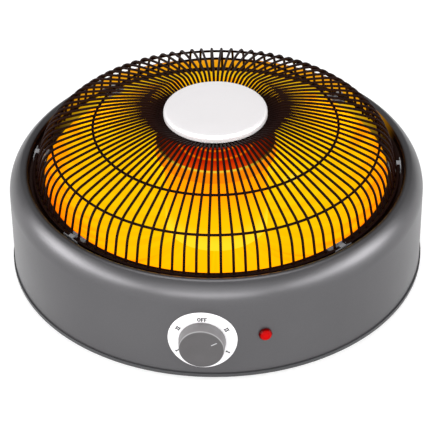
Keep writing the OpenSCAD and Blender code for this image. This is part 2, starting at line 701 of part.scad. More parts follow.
// Thermal cut-out
module cutout_screw_places() for (s = [-1, 1]) translate(cutout_at) translate([s * cutout_screw_at, 0, 0])
    children();
module thermal_cutout() color([0.85, 0.82, 0.75]) translate(cutout_at) difference() {
    union() {
        translate([0, 0, shield_z - seat - cutout_h]) cylinder(r = cutout_r, h = cutout_h);
        translate([-cutout_ear_l / 2, -cutout_ear_w / 2, shield_z - seat - cutout_ear_t])
            cube([cutout_ear_l, cutout_ear_w, cutout_ear_t]);
        translate([-tab_w / 2, -cutout_r - tab_l, shield_z - cutout_tab_drop - tab_t / 2])
            cube([tab_w, 2 * (cutout_r + tab_l), tab_t]);
    }
    for (s = [-1, 1]) translate([s * cutout_screw_at, 0, shield_z - cutout_ear_t - over])
        cylinder(r = small_screw_r + slip, h = cutout_ear_t + 2 * over, $fn = small_fn);
}
module cutout_screws() color([0.72, 0.72, 0.74]) cutout_screw_places()
    translate([0, 0, shield_z - 2 * seat - cutout_ear_t]) rotate([180, 0, 0])
        screw(small_screw_r, small_screw_l, small_head_r, small_head_h);

// Dial plate: a round piece of thin plate that follows the wall's curve
module dial_plate() color([0.95, 0.95, 0.96]) difference() {
    intersection() {
        on_wall(0, control_z) translate([0, 0, casing_r - dial_r]) cylinder(r = dial_r, h = 2 * dial_r);
        translate([0, 0, control_z - dial_r])
            tube(casing_r + seat + dial_t, casing_r + seat, 2 * dial_r, $fn = 180);
    }
    on_wall(0, control_z) wall_hole(shaft_hole_r);
    on_wall(0, control_z) switch_screw_places() wall_hole(small_screw_r + slip);
}

// Knob, shaft and cam turn together
module shaft_form(r, l, flat_l) difference() {
    cylinder(r = r, h = l, $fn = small_fn);
    translate([-r, r - shaft_flat, l - flat_l]) cube([2 * r, r, flat_l + over]);
}
module knob() color([0.4, 0.4, 0.41]) on_wall(0, control_z) difference() {
    rotate_extrude() polygon([
        [0, knob_face], [knob_r - knob_bevel, knob_face], [knob_r, knob_face - knob_bevel],
        [knob_r, knob_back], [knob_r - knob_wall, knob_back], [knob_r - knob_wall, knob_face - knob_top_t],
        [knob_boss_r, knob_face - knob_top_t], [knob_boss_r, knob_back], [0, knob_back]]);
    translate([0, 0, knob_back - over])
        shaft_form(shaft_r + slip, shaft_in_knob + over, shaft_in_knob + over);
    rotate([0, 0, pointer_a]) translate([pointer_in_r, -pointer_w / 2, knob_face - pointer_t])
        cube([pointer_l, pointer_w, pointer_t + over]);
}
module knob_pointer() color([0.72, 0.72, 0.73]) on_wall(0, control_z) rotate([0, 0, pointer_a])
    translate([pointer_in_r + seat, seat - pointer_w / 2, knob_face - pointer_t + seat])
        cube([pointer_l - 2 * seat, pointer_w - 2 * seat, pointer_t - seat]);
module switch_shaft() color([0.75, 0.75, 0.76]) on_wall(0, control_z) translate([0, 0, shaft_foot])
    shaft_form(shaft_r, knob_back + shaft_in_knob - fit - shaft_foot, shaft_in_knob);
module switch_cam() color([0.85, 0.3, 0.2]) on_wall(0, control_z) translate([0, 0, cam_foot]) difference() {
    union() {
        cylinder(r = cam_r, h = cam_l);
        for (i = [0:2]) rotate([0, 0, 45 + i * 120]) translate([cam_r - cam_lobe_r / 2, 0, 0])
            cylinder(r = cam_lobe_r, h = cam_l, $fn = small_fn);
    }
    translate([0, 0, -over]) cylinder(r = shaft_r + slip / 2, h = cam_l + 2 * over, $fn = small_fn);
}

// Switch body, open at the back, with four solid corners
module switch_screw_places() for (s = [-1, 1]) translate([s * switch_screw_at, -s * switch_screw_at, 0])
    children();
module switch_body() color([0.12, 0.12, 0.13]) on_wall(0, control_z) difference() {
    translate([-switch_w / 2, -switch_w / 2, switch_back]) cube([switch_w, switch_w, switch_l]);
    for (a = [0, 90]) rotate([0, 0, a])
        translate([switch_wall - switch_w / 2, -switch_arm_w / 2, switch_back - over])
            cube([switch_w - 2 * switch_wall, switch_arm_w, switch_l - switch_nose_t + over]);
    translate([0, 0, switch_back]) cylinder(r = shaft_r + slip, h = switch_l + over, $fn = small_fn);
    switch_screw_places() translate([0, 0, switch_front - switch_screw_l - over])
        cylinder(r = small_screw_r + slip, h = switch_screw_l + 2 * over, $fn = small_fn);
}
module contact_places() for (a = [0:90:270]) rotate([0, 0, a]) children();
module switch_cover() color([0.2, 0.2, 0.21]) on_wall(0, control_z) difference() {
    translate([-switch_w / 2, -switch_w / 2, switch_back - seat - cover_t])
        cube([switch_w, switch_w, cover_t]);
    translate([0, 0, switch_back - 2 * cover_t])
        cylinder(r = shaft_r + slip, h = 3 * cover_t, $fn = small_fn);
    contact_places() translate([contact_r - seat, -tab_w / 2 - seat, switch_back - 2 * cover_t])
        cube([contact_t + 2 * seat, tab_w + 2 * seat, 3 * cover_t]);
}
// A leaf beside the cam, and a tab that leaves through the cover
module switch_contacts() color([0.85, 0.68, 0.3]) on_wall(0, control_z) contact_places() union() {
    translate([contact_r, -contact_w / 2, switch_back]) cube([contact_t, contact_w, contact_l]);
    translate([contact_r, -tab_w / 2, switch_back - cover_t - seat - tab_l])
        cube([contact_t, tab_w, tab_l + cover_t]);
}
module switch_screws() color([0.72, 0.72, 0.74]) on_wall(0, control_z) switch_screw_places()
    translate([0, 0, switch_screw_seat])
        screw(small_screw_r, switch_screw_l, small_head_r, small_head_h / 2);

// Pilot lamp
module lamp_lens() color([0.9, 0.02, 0.02]) on_wall(lamp_a, lamp_z) union() {
    translate([0, 0, lamp_seat]) cylinder(r = lamp_r, h = lamp_flange_h, $fn = 12);
    translate([0, 0, lamp_seat + lamp_flange_h])
        cylinder(r1 = lamp_r, r2 = lamp_r * lamp_dome_share, h = lamp_dome_h, $fn = 12);
    translate([0, 0, lamp_seat - lamp_stem_l]) cylinder(r = lamp_stem_r, h = lamp_stem_l, $fn = small_fn);
}
module lamp_body() color([0.15, 0.15, 0.16]) on_wall(lamp_a, lamp_z) translate([0, 0, lamp_tube_back])
    difference() {
        cylinder(r = lamp_tube_r, h = lamp_tube_l - seat, $fn = small_fn);
        translate([0, 0, lamp_tube_t])
            cylinder(r = lamp_tube_r - lamp_tube_t, h = lamp_tube_l, $fn = small_fn);
        for (s = [-1, 1]) translate([s * lamp_tab_at - tab_t / 2 - seat, -lamp_tab_w / 2 - seat, -over])
            cube([tab_t + 2 * seat, lamp_tab_w + 2 * seat, lamp_tube_t + 2 * over]);
    }
module lamp_bulb() color([0.95, 0.5, 0.3]) on_wall(lamp_a, lamp_z)
    translate([0, 0, lamp_tube_back + lamp_tube_t + seat]) cylinder(r = bulb_r, h = bulb_l, $fn = small_fn);
module lamp_nut() color([0.8, 0.8, 0.8]) on_wall(lamp_a, lamp_z)
    translate([0, 0, lamp_nut_face - lamp_nut_h]) hex(lamp_nut_r, lamp_nut_h, lamp_tube_r + slip);
module lamp_tabs() color([0.85, 0.68, 0.3]) on_wall(lamp_a, lamp_z) for (s = [-1, 1])
    translate([s * lamp_tab_at - tab_t / 2, -lamp_tab_w / 2, lamp_tube_back - tab_l])
        cube([tab_t, lamp_tab_w, tab_l + lamp_tube_t]);

// A push-on connector over a tab that ends at z = 0 and comes from above
module connector(w, t) translate([-t / 2 - conn_wall, -w / 2 - conn_wall, conn_on - conn_l]) difference() {
    cube([t + 2 * conn_wall, w + 2 * conn_wall, conn_l]);
    translate([conn_wall - seat, conn_wall - seat, conn_l - conn_on - seat])
        cube([t + 2 * seat, w + 2 * seat, conn_on + over]);
}
module push_on_connectors() color([0.85, 0.68, 0.3]) {
    on_wall(0, control_z) contact_places()
        translate([contact_r + contact_t / 2, 0, switch_back - cover_t - seat - tab_l])
            connector(tab_w, contact_t);
    on_wall(lamp_a, lamp_z) for (s = [-1, 1])
        translate([s * lamp_tab_at, 0, lamp_tube_back - tab_l]) connector(lamp_tab_w, tab_t);
    for (s = [0, 1]) translate([cutout_at[0], cutout_at[1], shield_z - cutout_tab_drop]) mirror([0, s, 0])
        translate([0, cutout_r + tab_l, 0]) rotate([90, 0, 0]) rotate([0, 0, 90]) connector(tab_w, tab_t);
}

// Terminal block
module terminal_block() color([0.92, 0.91, 0.87]) difference() {
    translate([block_at[0] - block_l / 2, block_at[1] - block_d / 2, base_top_z + seat])
        cube([block_l, block_d, block_h]);
    for (i = [0:poles - 1]) translate([pole_x(i), block_at[1], pole_z]) {
        rotate([90, 0, 0]) translate([0, 0, -block_d])
            cylinder(r = pole_r, h = 2 * block_d, $fn = small_fn);
        for (s = [-1, 1]) translate([0, s * pole_screw_in, 0])
            cylinder(r = pole_screw_r + slip, h = block_h, $fn = small_fn);
    }
    translate([block_at[0], block_at[1], base_z])
        cylinder(r = small_screw_r + slip, h = 2 * block_h, $fn = small_fn);
}
function pole_x(i) = block_at[0] + (i - (poles - 1) / 2) * pole_pitch;
module terminal_screws() color([0.72, 0.72, 0.74]) for (i = [0:poles - 1], s = [-1, 1])
    translate([pole_x(i), block_at[1] + s * pole_screw_in, pole_z + pole_r]) difference() {
        cylinder(r = pole_screw_r, h = block_top_z - pole_z - pole_r - over, $fn = small_fn);
        translate([-pole_screw_r, -pole_screw_r / 6, block_top_z - pole_z - pole_r - 2 * over])
            cube([2 * pole_screw_r, pole_screw_r / 3, 2 * over]);
    }
module terminal_block_screw() color([0.72, 0.72, 0.74])
    translate([block_at[0], block_at[1], block_top_z + seat])
        screw(small_screw_r, block_h + base_t + over, small_head_r, small_head_h);

// Inlet gland
module inlet_gland() color([0.13, 0.13, 0.14]) on_wall(180, gland_z) difference() {
    union() {
        translate([0, 0, casing_r + seat]) cylinder(r = gland_flange_r, h = gland_flange_h, $fn = 6);
        translate([0, 0, casing_r - gland_stem_in])
            cylinder(r = gland_stem_r, h = gland_stem_l, $fn = small_fn);
    }
    translate([0, 0, casing_r]) cylinder(r = gland_bore_r, h = gland_stem_l, $fn = small_fn);
    translate([0, 0, casing_r - gland_stem_in - over])
        cylinder(r = gland_in_r, h = over + gland_stem_in + gland_throat_out, $fn = small_fn);
}
module gland_nut() color([0.13, 0.13, 0.14]) on_wall(180, gland_z)
    translate([0, 0, gland_face - gland_nut_h]) difference() {
        intersection() {
            cylinder(r = gland_flange_r - over, h = gland_nut_h, $fn = 6);
            cylinder(r1 = gland_flange_r + gland_nut_h, r2 = gland_stem_r + over, h = gland_nut_h,
                $fn = small_fn);
        }
        translate([0, 0, -over])
            cylinder(r = gland_stem_r + slip, h = gland_neck_l + over + seat, $fn = small_fn);
        cylinder(r = gland_bore_r, h = gland_nut_h + over, $fn = small_fn);
    }
module gland_locknut() color([0.13, 0.13, 0.14]) on_wall(180, gland_z)
    translate([0, 0, gland_locknut_face - gland_locknut_h])
        hex(gland_flange_r, gland_locknut_h, gland_stem_r + slip);

// Earth stud: its head is under the base plate
module earth_stud() color([0.85, 0.68, 0.3]) translate(stud_at) union() {
    translate([0, 0, base_z - seat - stud_head_h])
        cylinder(r = stud_head_r, h = stud_head_h, $fn = small_fn);
    translate([0, 0, base_z - seat - stud_head_h])
        cylinder(r = stud_thread_r, h = stud_top_z - base_z + seat + stud_head_h, $fn = small_fn);
}
module earth_nut() color([0.85, 0.68, 0.3]) translate([stud_at[0], stud_at[1], base_top_z + nut_gap])
    hex(stud_nut_r, stud_nut_h, stud_thread_r + slip);

// Inner leads: smooth curves through points chosen by hand, swept as round tubes
function unit(v) = v / norm(v);
function curve_point(p, i, t) =
    let (a = p[max(i - 1, 0)], b = p[i], c = p[i + 1], d = p[min(i + 2, len(p) - 1)])
    0.5 * (2 * b + (c - a) * t + (2 * a - 5 * b + 4 * c - d) * t * t + (3 * b - a - 3 * c + d) * t * t * t);
function curve(p) = concat(
    [for (i = [0:len(p) - 2]) let (n = max(1, round(norm(p[i + 1] - p[i]) / lead_step)))
        for (k = [0:n - 1]) curve_point(p, i, k / n)],
    [p[len(p) - 1]]);
// A round tube through the points q: each cross-section's side is the last one's, squared to the path
module sweep(q, d, sides) {
    n = len(q);
    ahead_at = [for (i = [0:n - 1]) unit(q[min(i + 1, n - 1)] - q[max(i - 1, 0)])];
    start = abs(ahead_at[0][2]) < 0.9 ? [0, 0, 1] : [1, 0, 0];
    side_at = [for (i = 0, v = squared(start, ahead_at[0]); i < n;
        i = i + 1, v = squared(v, ahead_at[min(i, n - 1)])) v];
    rings = [for (i = [0:n - 1], j = [0:sides - 1]) let (a = j * 360 / sides)
        q[i] + d / 2 * (cos(a) * side_at[i] + sin(a) * cross(ahead_at[i], side_at[i]))];
    walls = [for (i = [0:n - 2], j = [0:sides - 1])
        let (a = i * sides + j, b = i * sides + (j + 1) % sides)
        each [[a, b + sides, b], [a, a + sides, b + sides]]];
    first = [[for (j = [0:sides - 1]) j]];
    last = [[for (j = [sides - 1:-1:0]) (n - 1) * sides + j]];
    polyhedron(points = rings, faces = concat(walls, first, last));
}
function squared(v, t) = unit(v - (v * t) * t);
module lead(route) sweep(curve(route), lead_d, lead_fn);
lead_in = 3;
lead_run = 6;
pin_run = 4;
block_face = block_at[1] - block_d / 2 + lead_in;
tab_end = switch_back - cover_t - seat - tab_l + conn_on - conn_l - seat;
contact_mid = contact_r + contact_t / 2;
lamp_end = lamp_tube_back - tab_l + conn_on - conn_l - seat;
function lamp_point(x, z) =
    [x * cos(lamp_a) + z * sin(lamp_a), x * sin(lamp_a) - z * cos(lamp_a), lamp_z];
cutout_end = cutout_r + tab_l + conn_l - conn_on + seat;
cutout_tab_z = shield_z - cutout_tab_drop;
pin_z = pin_foot_z + lead_d / 2 + seat;
pin_reach = pin_r + seat;
// The leads' points by the controls and by the terminal block keep their distance from the wall, and those on
// the open way are shares of the casing's radius
function on_way(x_share, y_share, z) = [x_share * casing_r, y_share * casing_r, z];
function by_block(x, from_wall, z) = [x, casing_r - from_wall, z];
function by_switch(x, from_wall, z) = [x, from_wall - casing_r, z];
function by_lamp(x_share, from_wall, z) = [x_share * casing_r, from_wall - casing_r, z];

live_route = [
    [pole_x(0), block_face, pole_z], by_block(pole_x(0), 72, 11), on_way(-0.15, 0.56, 10),
    on_way(-0.29, 0.42, 10), on_way(-0.41, 0.26, 10),
    [-91, 36, 13], [cutout_at[0], cutout_at[1] + cutout_end + lead_run, cutout_tab_z],
    [cutout_at[0], cutout_at[1] + cutout_end, cutout_tab_z]];
switch_route = [
    [cutout_at[0], cutout_at[1] - cutout_end, cutout_tab_z],
    [cutout_at[0], cutout_at[1] - cutout_end - lead_run, cutout_tab_z],
    [-90, -42, 12], on_way(-0.38, -0.38, 10), on_way(-0.25, -0.56, 10), by_switch(-22, 58, 17),
    by_switch(-15, 51, 34),
    [-contact_mid, lead_run - tab_end, control_z], [-contact_mid, -tab_end, control_z]];
low_route = [
    [0, -tab_end, control_z - contact_mid], [0, lead_run - tab_end, control_z - contact_mid],
    by_switch(0, 53, 22), by_switch(0, 64, 12), on_way(-0.015, -0.49, 10), [-9, -70, 10],
    [-leg_y(lower_loop_r), -54, pin_z],
    [-leg_y(lower_loop_r), -leg_x(lower_loop_r) - pin_reach, pin_z]];
high_route = [
    [contact_mid, -tab_end, control_z], [contact_mid, lead_run - tab_end, control_z],
    by_switch(16, 51, 34), by_switch(27, 60, 16), on_way(0.25, -0.5, 10), on_way(0.35, -0.3, 10),
    on_way(0.38, -0.09, 10), on_way(0.33, 0.07, 10), [46, 27, 10], [24, 29, pin_z],
    [leg_y(upper_loop_r) + pin_reach, leg_x(upper_loop_r), pin_z]];
neutral_route = [
    [pole_x(1), block_face, pole_z], by_block(pole_x(1), 72, 11), on_way(-0.05, 0.52, 10),
    on_way(-0.11, 0.39, 10), [-25, 50, 10],
    [-leg_y(upper_loop_r) - pin_reach - 2 * pin_run, 32, 10],
    [-leg_y(upper_loop_r) - pin_reach - pin_run, leg_x(upper_loop_r), pin_z],
    [-leg_y(upper_loop_r) - pin_reach, leg_x(upper_loop_r), pin_z]];
link_route = [
    [-leg_y(upper_loop_r), leg_x(upper_loop_r) - pin_reach, pin_z],
    [-leg_y(upper_loop_r), leg_x(upper_loop_r) - pin_reach - pin_run, pin_z],
    [-13, 4, 10], [-12, -14, 10], [-5, -31, 10],
    [leg_y(lower_loop_r) - pin_reach - pin_run, -leg_x(lower_loop_r), pin_z],
    [leg_y(lower_loop_r) - pin_reach, -leg_x(lower_loop_r), pin_z]];
lamp_live_route = [
    [0, -tab_end, control_z + contact_mid], [0, lead_run - tab_end, control_z + contact_mid],
    by_switch(8, 52, 57), by_lamp(0.17, 50, 47),
    lamp_point(-lamp_tab_at, lamp_end - lead_run), lamp_point(-lamp_tab_at, lamp_end)];
lamp_neutral_route = [
    lamp_point(lamp_tab_at, lamp_end), lamp_point(lamp_tab_at, lamp_end - lead_run),
    by_lamp(0.29, 62, 32), by_lamp(0.37, 80, 14), on_way(0.49, -0.44, 10), on_way(0.57, -0.2, 10),
    on_way(0.57, 0.1, 10), on_way(0.46, 0.37, 10), on_way(0.27, 0.56, 10), by_block(20, 72, 11),
    by_block(pole_x(2), 66, pole_z), [pole_x(2), block_face, pole_z]];
earth_route = [
    [pole_x(3), block_face, pole_z], by_block(pole_x(3), 66, pole_z), by_block(26, 69, 9), by_block(36, 64, 8.5),
    [stud_at[0] - stud_thread_r - seat - pin_run, stud_at[1], 8.2],
    [stud_at[0] - stud_thread_r - seat, stud_at[1], 8.2]];
module live_lead() color([0.45, 0.25, 0.12]) lead(live_route);
module switch_lead() color([0.45, 0.25, 0.12]) lead(switch_route);
module low_heat_lead() color([0.2, 0.2, 0.2]) lead(low_route);
module high_heat_lead() color([0.7, 0.15, 0.1]) lead(high_route);
module neutral_leads() color([0.15, 0.3, 0.65]) {
    lead(neutral_route);
    lead(link_route);
}
module lamp_leads() color([0.85, 0.85, 0.85]) {
    lead(lamp_live_route);
    lead(lamp_neutral_route);
}
module earth_lead() color([0.3, 0.65, 0.2]) lead(earth_route);

outer_casing();
base_plate();
base_lugs();
base_screws();
rubber_feet();
foot_screws();
guard_base_ring();
guard_outer_ring();
guard_inner_ring();
guard_wires();
guard_hub_plate();
centre_disc();
centre_disc_nut();
guard_clips();
clip_screws();
reflector_dish();
insulation_disc();
heat_shield();
shield_pillars();
radiant_drum();
drum_cap();
ceramic_base();
ceramic_core();
lower_element();
upper_element();
ceramic_bushes();
tie_rod();
tie_rod_nuts();
thermal_cutout();
cutout_screws();
dial_plate();
knob();
knob_pointer();
switch_shaft();
switch_cam();
switch_body();
switch_cover();
switch_contacts();
switch_screws();
lamp_lens();
lamp_body();
lamp_bulb();
lamp_nut();
lamp_tabs();
push_on_connectors();
terminal_block();
terminal_screws();
terminal_block_screw();
inlet_gland();
gland_nut();
gland_locknut();
earth_stud();
earth_nut();
live_lead();
switch_lead();
low_heat_lead();
high_heat_lead();
neutral_leads();
lamp_leads();
earth_lead();
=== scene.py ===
import math
import random

import bpy
from mathutils import Matrix, Vector


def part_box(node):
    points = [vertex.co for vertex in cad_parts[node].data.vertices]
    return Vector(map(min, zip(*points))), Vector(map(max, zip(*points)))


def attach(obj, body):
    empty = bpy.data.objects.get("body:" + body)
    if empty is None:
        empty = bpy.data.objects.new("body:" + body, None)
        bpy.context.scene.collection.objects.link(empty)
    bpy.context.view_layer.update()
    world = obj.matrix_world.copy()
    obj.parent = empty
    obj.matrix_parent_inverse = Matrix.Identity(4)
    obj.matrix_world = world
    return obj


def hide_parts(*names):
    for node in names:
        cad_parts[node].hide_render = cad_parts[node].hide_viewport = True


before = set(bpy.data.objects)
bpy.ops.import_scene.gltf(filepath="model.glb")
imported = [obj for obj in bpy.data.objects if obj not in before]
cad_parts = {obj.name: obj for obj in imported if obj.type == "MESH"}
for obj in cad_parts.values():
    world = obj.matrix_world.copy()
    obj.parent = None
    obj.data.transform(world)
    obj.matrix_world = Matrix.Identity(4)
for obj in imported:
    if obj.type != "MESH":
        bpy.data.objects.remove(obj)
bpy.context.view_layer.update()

MM = 0.001
rng = random.Random(7)

# Sizes in millimetres, as the CAD has them
CASING_R = 200.0
CASING_T = 1.0
CASING_FOOT = 6.25
SHOULDER_R = 28.0
SHOULDER_A = 52.2
CREST_R = 5.3
CREST_AT = 185.9
CREST_Z = 106.5
LIP_Z = 98.0
LIP_R = 165.6
LIP_BEND_R = 1.2
CONTROL_Z = 48.0
LAMP_Z = 51.0
LAMP_A = 16.4
WIRES = 96
WIRE_R = 1.2
WIRE_TURN = 1.5
WIRE_FOOT = (172.5, 100.3)
LEG_L = 18.0
LEG_LEAN = 11.7
BEND_R = 30.0
CROWN_OUT_A = 22.2
CROWN_IN_A = 10.5
CROWN_END_R = 69.0
DIP_R = 15.0
DIP_A = 19.3
WIRE_END_R = 44.5
RING_D = 2.5
RING_WELD = 0.3
OUTER_RING_A = 52.0
INNER_RING_R = 117.0
BASE_RING = (175.2, 100.9, 3.6)
DISC_R = 49.5
DISH_Z = 35.0
DISH_FLOOR_R = 60.0
DRUM_R = 50.0
LID_R = 58.0
PLATE_FACE = 201.25
LAMP_SEAT = 200.05

# Sizes of the look alone, as photographed: the knob is a little smaller and lower than the CAD's, the wires a
# little thicker
KNOB_R = 20.7
KNOB_FACE = 214.2
WIRE_EXTRA_R = 0.08
WIRE_STRAY = 0.10

# Camera: angles in degrees, places in metres, lens and sensor in millimetres
CAMERA_UP = 36.173
CAMERA_TURN = 4.118
CAMERA_ROLL = -0.699
CAMERA_SIDE = -0.00162
CAMERA_AIM_Z = 0.04167
CAMERA_AWAY = 2.0344
CAMERA_LENS = 173.214
CAMERA_SENSOR = 36.0

# Light: name, place, height of its target, width and height in metres, watts
LIGHTS = (
    ("front_box", (0.0, -2.4, 1.45), 0.09, 2.6, 2.0, 24),
    ("front_strip", (0.0, -2.6, 0.85), 0.09, 2.4, 0.6, 27),
    ("left_strip", (-2.1, -1.6, 0.95), 0.06, 1.6, 0.8, 32),
    ("right_strip", (2.1, -1.5, 0.95), 0.06, 1.6, 0.8, 26),
    ("left_box", (-2.7, -0.3, 0.95), 0.06, 1.4, 1.1, 52),
    ("right_box", (2.7, -0.2, 0.95), 0.06, 1.4, 1.1, 50),
    ("top_box", (0.0, 0.3, 2.8), 0.1, 1.8, 1.4, 28))
WORLD_STRENGTH = 0.36
FLOOR_HALF = 12.0
FLOOR_LIFT = 0.58


# Camera

def make_camera():
    elevation, azimuth, roll = (math.radians(a) for a in (CAMERA_UP, CAMERA_TURN, CAMERA_ROLL))
    away = Vector((math.sin(azimuth) * math.cos(elevation), -math.cos(azimuth) * math.cos(elevation),
                   math.sin(elevation)))
    right = Vector((math.cos(azimuth), math.sin(azimuth), 0))
    target = CAMERA_SIDE * right + Vector((0, 0, CAMERA_AIM_Z))
    data = bpy.data.cameras.new("camera")
    data.lens, data.sensor_width = CAMERA_LENS, CAMERA_SENSOR
    data.clip_end = 50.0
    cam = bpy.data.objects.new("camera", data)
    bpy.context.scene.collection.objects.link(cam)
    cam.matrix_world = (Matrix.Translation(target + CAMERA_AWAY * away)
                        @ (-away).to_track_quat("-Z", "Y").to_matrix().to_4x4()
                        @ Matrix.Rotation(roll, 4, "Z"))
    bpy.context.scene.camera = cam


make_camera()


# Node groups and materials

def socket(group, name, kind, default=None, out=False):
    s = group.interface.new_socket(name=name, in_out="OUTPUT" if out else "INPUT", socket_type=kind)
    if default is not None:
        s.default_value = default
    return s


def surface_group():
    """Two-scale mottling of a colour, with matching roughness and bump."""
    g = bpy.data.node_groups.new("Surface", "ShaderNodeTree")
    socket(g, "Color", "NodeSocketColor", (0.5, 0.5, 0.5, 1))
    socket(g, "Second Color", "NodeSocketColor", (0.4, 0.4, 0.4, 1))
    for name, value in (("Roughness", 0.4), ("Roughness Spread", 0.08), ("Patch Scale", 14.0),
                        ("Grain Scale", 900.0), ("Bump", 0.1)):
        socket(g, name, "NodeSocketFloat", value)
    socket(g, "Color", "NodeSocketColor", out=True)
    socket(g, "Roughness", "NodeSocketFloat", out=True)
    socket(g, "Normal", "NodeSocketVector", out=True)
    n, l = g.nodes, g.links
    gi, go = n.new("NodeGroupInput"), n.new("NodeGroupOutput")
    tc = n.new("ShaderNodeTexCoord")
    patch, grain = n.new("ShaderNodeTexNoise"), n.new("ShaderNodeTexNoise")
    for node, key, detail in ((patch, "Patch Scale", 4.0), (grain, "Grain Scale", 2.0)):
        node.inputs["Detail"].default_value = detail
        l.new(tc.outputs["Object"], node.inputs["Vector"])
        l.new(gi.outputs[key], node.inputs["Scale"])
    both = n.new("ShaderNodeMath")
    both.operation = "MULTIPLY_ADD"
    both.inputs[1].default_value = 0.35
    l.new(grain.outputs[0], both.inputs[0])
    l.new(patch.outputs[0], both.inputs[2])
    spread = n.new("ShaderNodeMapRange")
    spread.inputs["From Min"].default_value = 0.42
    spread.inputs["From Max"].default_value = 0.92
    l.new(both.outputs[0], spread.inputs["Value"])
    mix = n.new("ShaderNodeMix")
    mix.data_type = "RGBA"
    l.new(spread.outputs[0], mix.inputs["Factor"])
    l.new(gi.outputs["Color"], mix.inputs[6])
    l.new(gi.outputs["Second Color"], mix.inputs[7])
    rough = n.new("ShaderNodeMath")
    rough.operation = "MULTIPLY_ADD"
    l.new(spread.outputs[0], rough.inputs[0])
    l.new(gi.outputs["Roughness Spread"], rough.inputs[1])
    l.new(gi.outputs["Roughness"], rough.inputs[2])
    bump = n.new("ShaderNodeBump")
    bump.inputs["Distance"].default_value = 0.0002
    l.new(grain.outputs[0], bump.inputs["Height"])
    l.new(gi.outputs["Bump"], bump.inputs["Strength"])
    l.new(mix.outputs[2], go.inputs["Color"])
    l.new(rough.outputs[0], go.inputs["Roughness"])
    l.new(bump.outputs[0], go.inputs["Normal"])
    return g


SURFACE = surface_group()


def linear(rgb):
    """A colour from 0-255 screen values."""
    return tuple((c / 255 / 12.92 if c <= 10 else ((c / 255 + 0.055) / 1.055) ** 2.4) for c in rgb) + (1.0,)


def shader(m):
    return m.node_tree.nodes["Principled BSDF"]


def material(name, rgb, second=None, rough=0.4, metal=0.0, bump=0.1, patch=14.0, grain=900.0,
             rough_spread=0.08, specular=0.5):
    m = bpy.data.materials.new(name)
    m.use_nodes = True
    bsdf = shader(m)
    g = m.node_tree.nodes.new("ShaderNodeGroup")
    g.node_tree = SURFACE
    second = second or tuple(c * 0.9 for c in rgb)
    for key, value in (("Color", linear(rgb)), ("Second Color", linear(second)), ("Roughness", rough),
                       ("Roughness Spread", rough_spread), ("Patch Scale", patch), ("Grain Scale", grain),
                       ("Bump", bump)):
        g.inputs[key].default_value = value
    l = m.node_tree.links
    l.new(g.outputs["Color"], bsdf.inputs["Base Color"])
    l.new(g.outputs["Roughness"], bsdf.inputs["Roughness"])
    l.new(g.outputs["Normal"], bsdf.inputs["Normal"])
    bsdf.inputs["Metallic"].default_value = metal
    bsdf.inputs["Specular IOR Level"].default_value = specular
    return m


def glow_ramp(m, stops, strength, drive, kind="EASE"):
    """Adds an emission whose colour follows the value socket drive through the given stops."""
    nodes, links = m.node_tree.nodes, m.node_tree.links
    ramp = nodes.new("ShaderNodeValToRGB")
    ramp.color_ramp.interpolation = kind
    while len(ramp.color_ramp.elements) < len(stops):
        ramp.color_ramp.elements.new(0.5)
    for element, (at, rgb) in zip(ramp.color_ramp.elements, stops):
        element.position = at
        element.color = linear(rgb)
    links.new(drive, ramp.inputs[0])
    links.new(ramp.outputs[0], shader(m).inputs["Emission Color"])
    shader(m).inputs["Emission Strength"].default_value = strength
    return ramp


def math_node(m, operation, a, b=None, c=None):
    node = m.node_tree.nodes.new("ShaderNodeMath")
    node.operation = operation
    for i, v in enumerate((a, b, c)):
        if v is None:
            continue
        if isinstance(v, (int, float)):
            node.inputs[i].default_value = v
        else:
            m.node_tree.links.new(v, node.inputs[i])
    return node.outputs[0]


def object_point(m):
    """A point of the object, in metres."""
    return m.node_tree.nodes.new("ShaderNodeTexCoord").outputs["Object"]


def axes(m, point):
    """The three coordinates of a point."""
    sep = m.node_tree.nodes.new("ShaderNodeSeparateXYZ")
    m.node_tree.links.new(point, sep.inputs[0])
    return sep.outputs


def distance(m, a, b):
    """Distance from the line on which both coordinates are 0."""
    squares = [math_node(m, "MULTIPLY", c, c) for c in (a, b)]
    return math_node(m, "SQRT", math_node(m, "ADD", *squares))


def span(m, value, low, high, smooth=True):
    """0 at low and 1 at high."""
    node = m.node_tree.nodes.new("ShaderNodeMapRange")
    node.interpolation_type = "SMOOTHSTEP" if smooth else "LINEAR"
    node.inputs["From Min"].default_value = low
    node.inputs["From Max"].default_value = high
    m.node_tree.links.new(value, node.inputs["Value"])
    return node.outputs[0]


def spot(m, point, centre, reach):
    """1 at a point of the object, falling to 0 at the reach."""
    d = m.node_tree.nodes.new("ShaderNodeVectorMath")
    d.operation = "DISTANCE"
    m.node_tree.links.new(point, d.inputs[0])
    d.inputs[1].default_value = [c * MM for c in centre]
    return span(m, d.outputs["Value"], reach * MM, 0.0)


def mixed(m, factor, first, second):
    """A colour mixed from two sockets or colours."""
    node = m.node_tree.nodes.new("ShaderNodeMix")
    node.data_type = "RGBA"
    for i, v in ((0, factor), (6, first), (7, second)):
        if isinstance(v, tuple):
            node.inputs[i].default_value = v
        else:
            m.node_tree.links.new(v, node.inputs[i])
    return node.outputs[2]


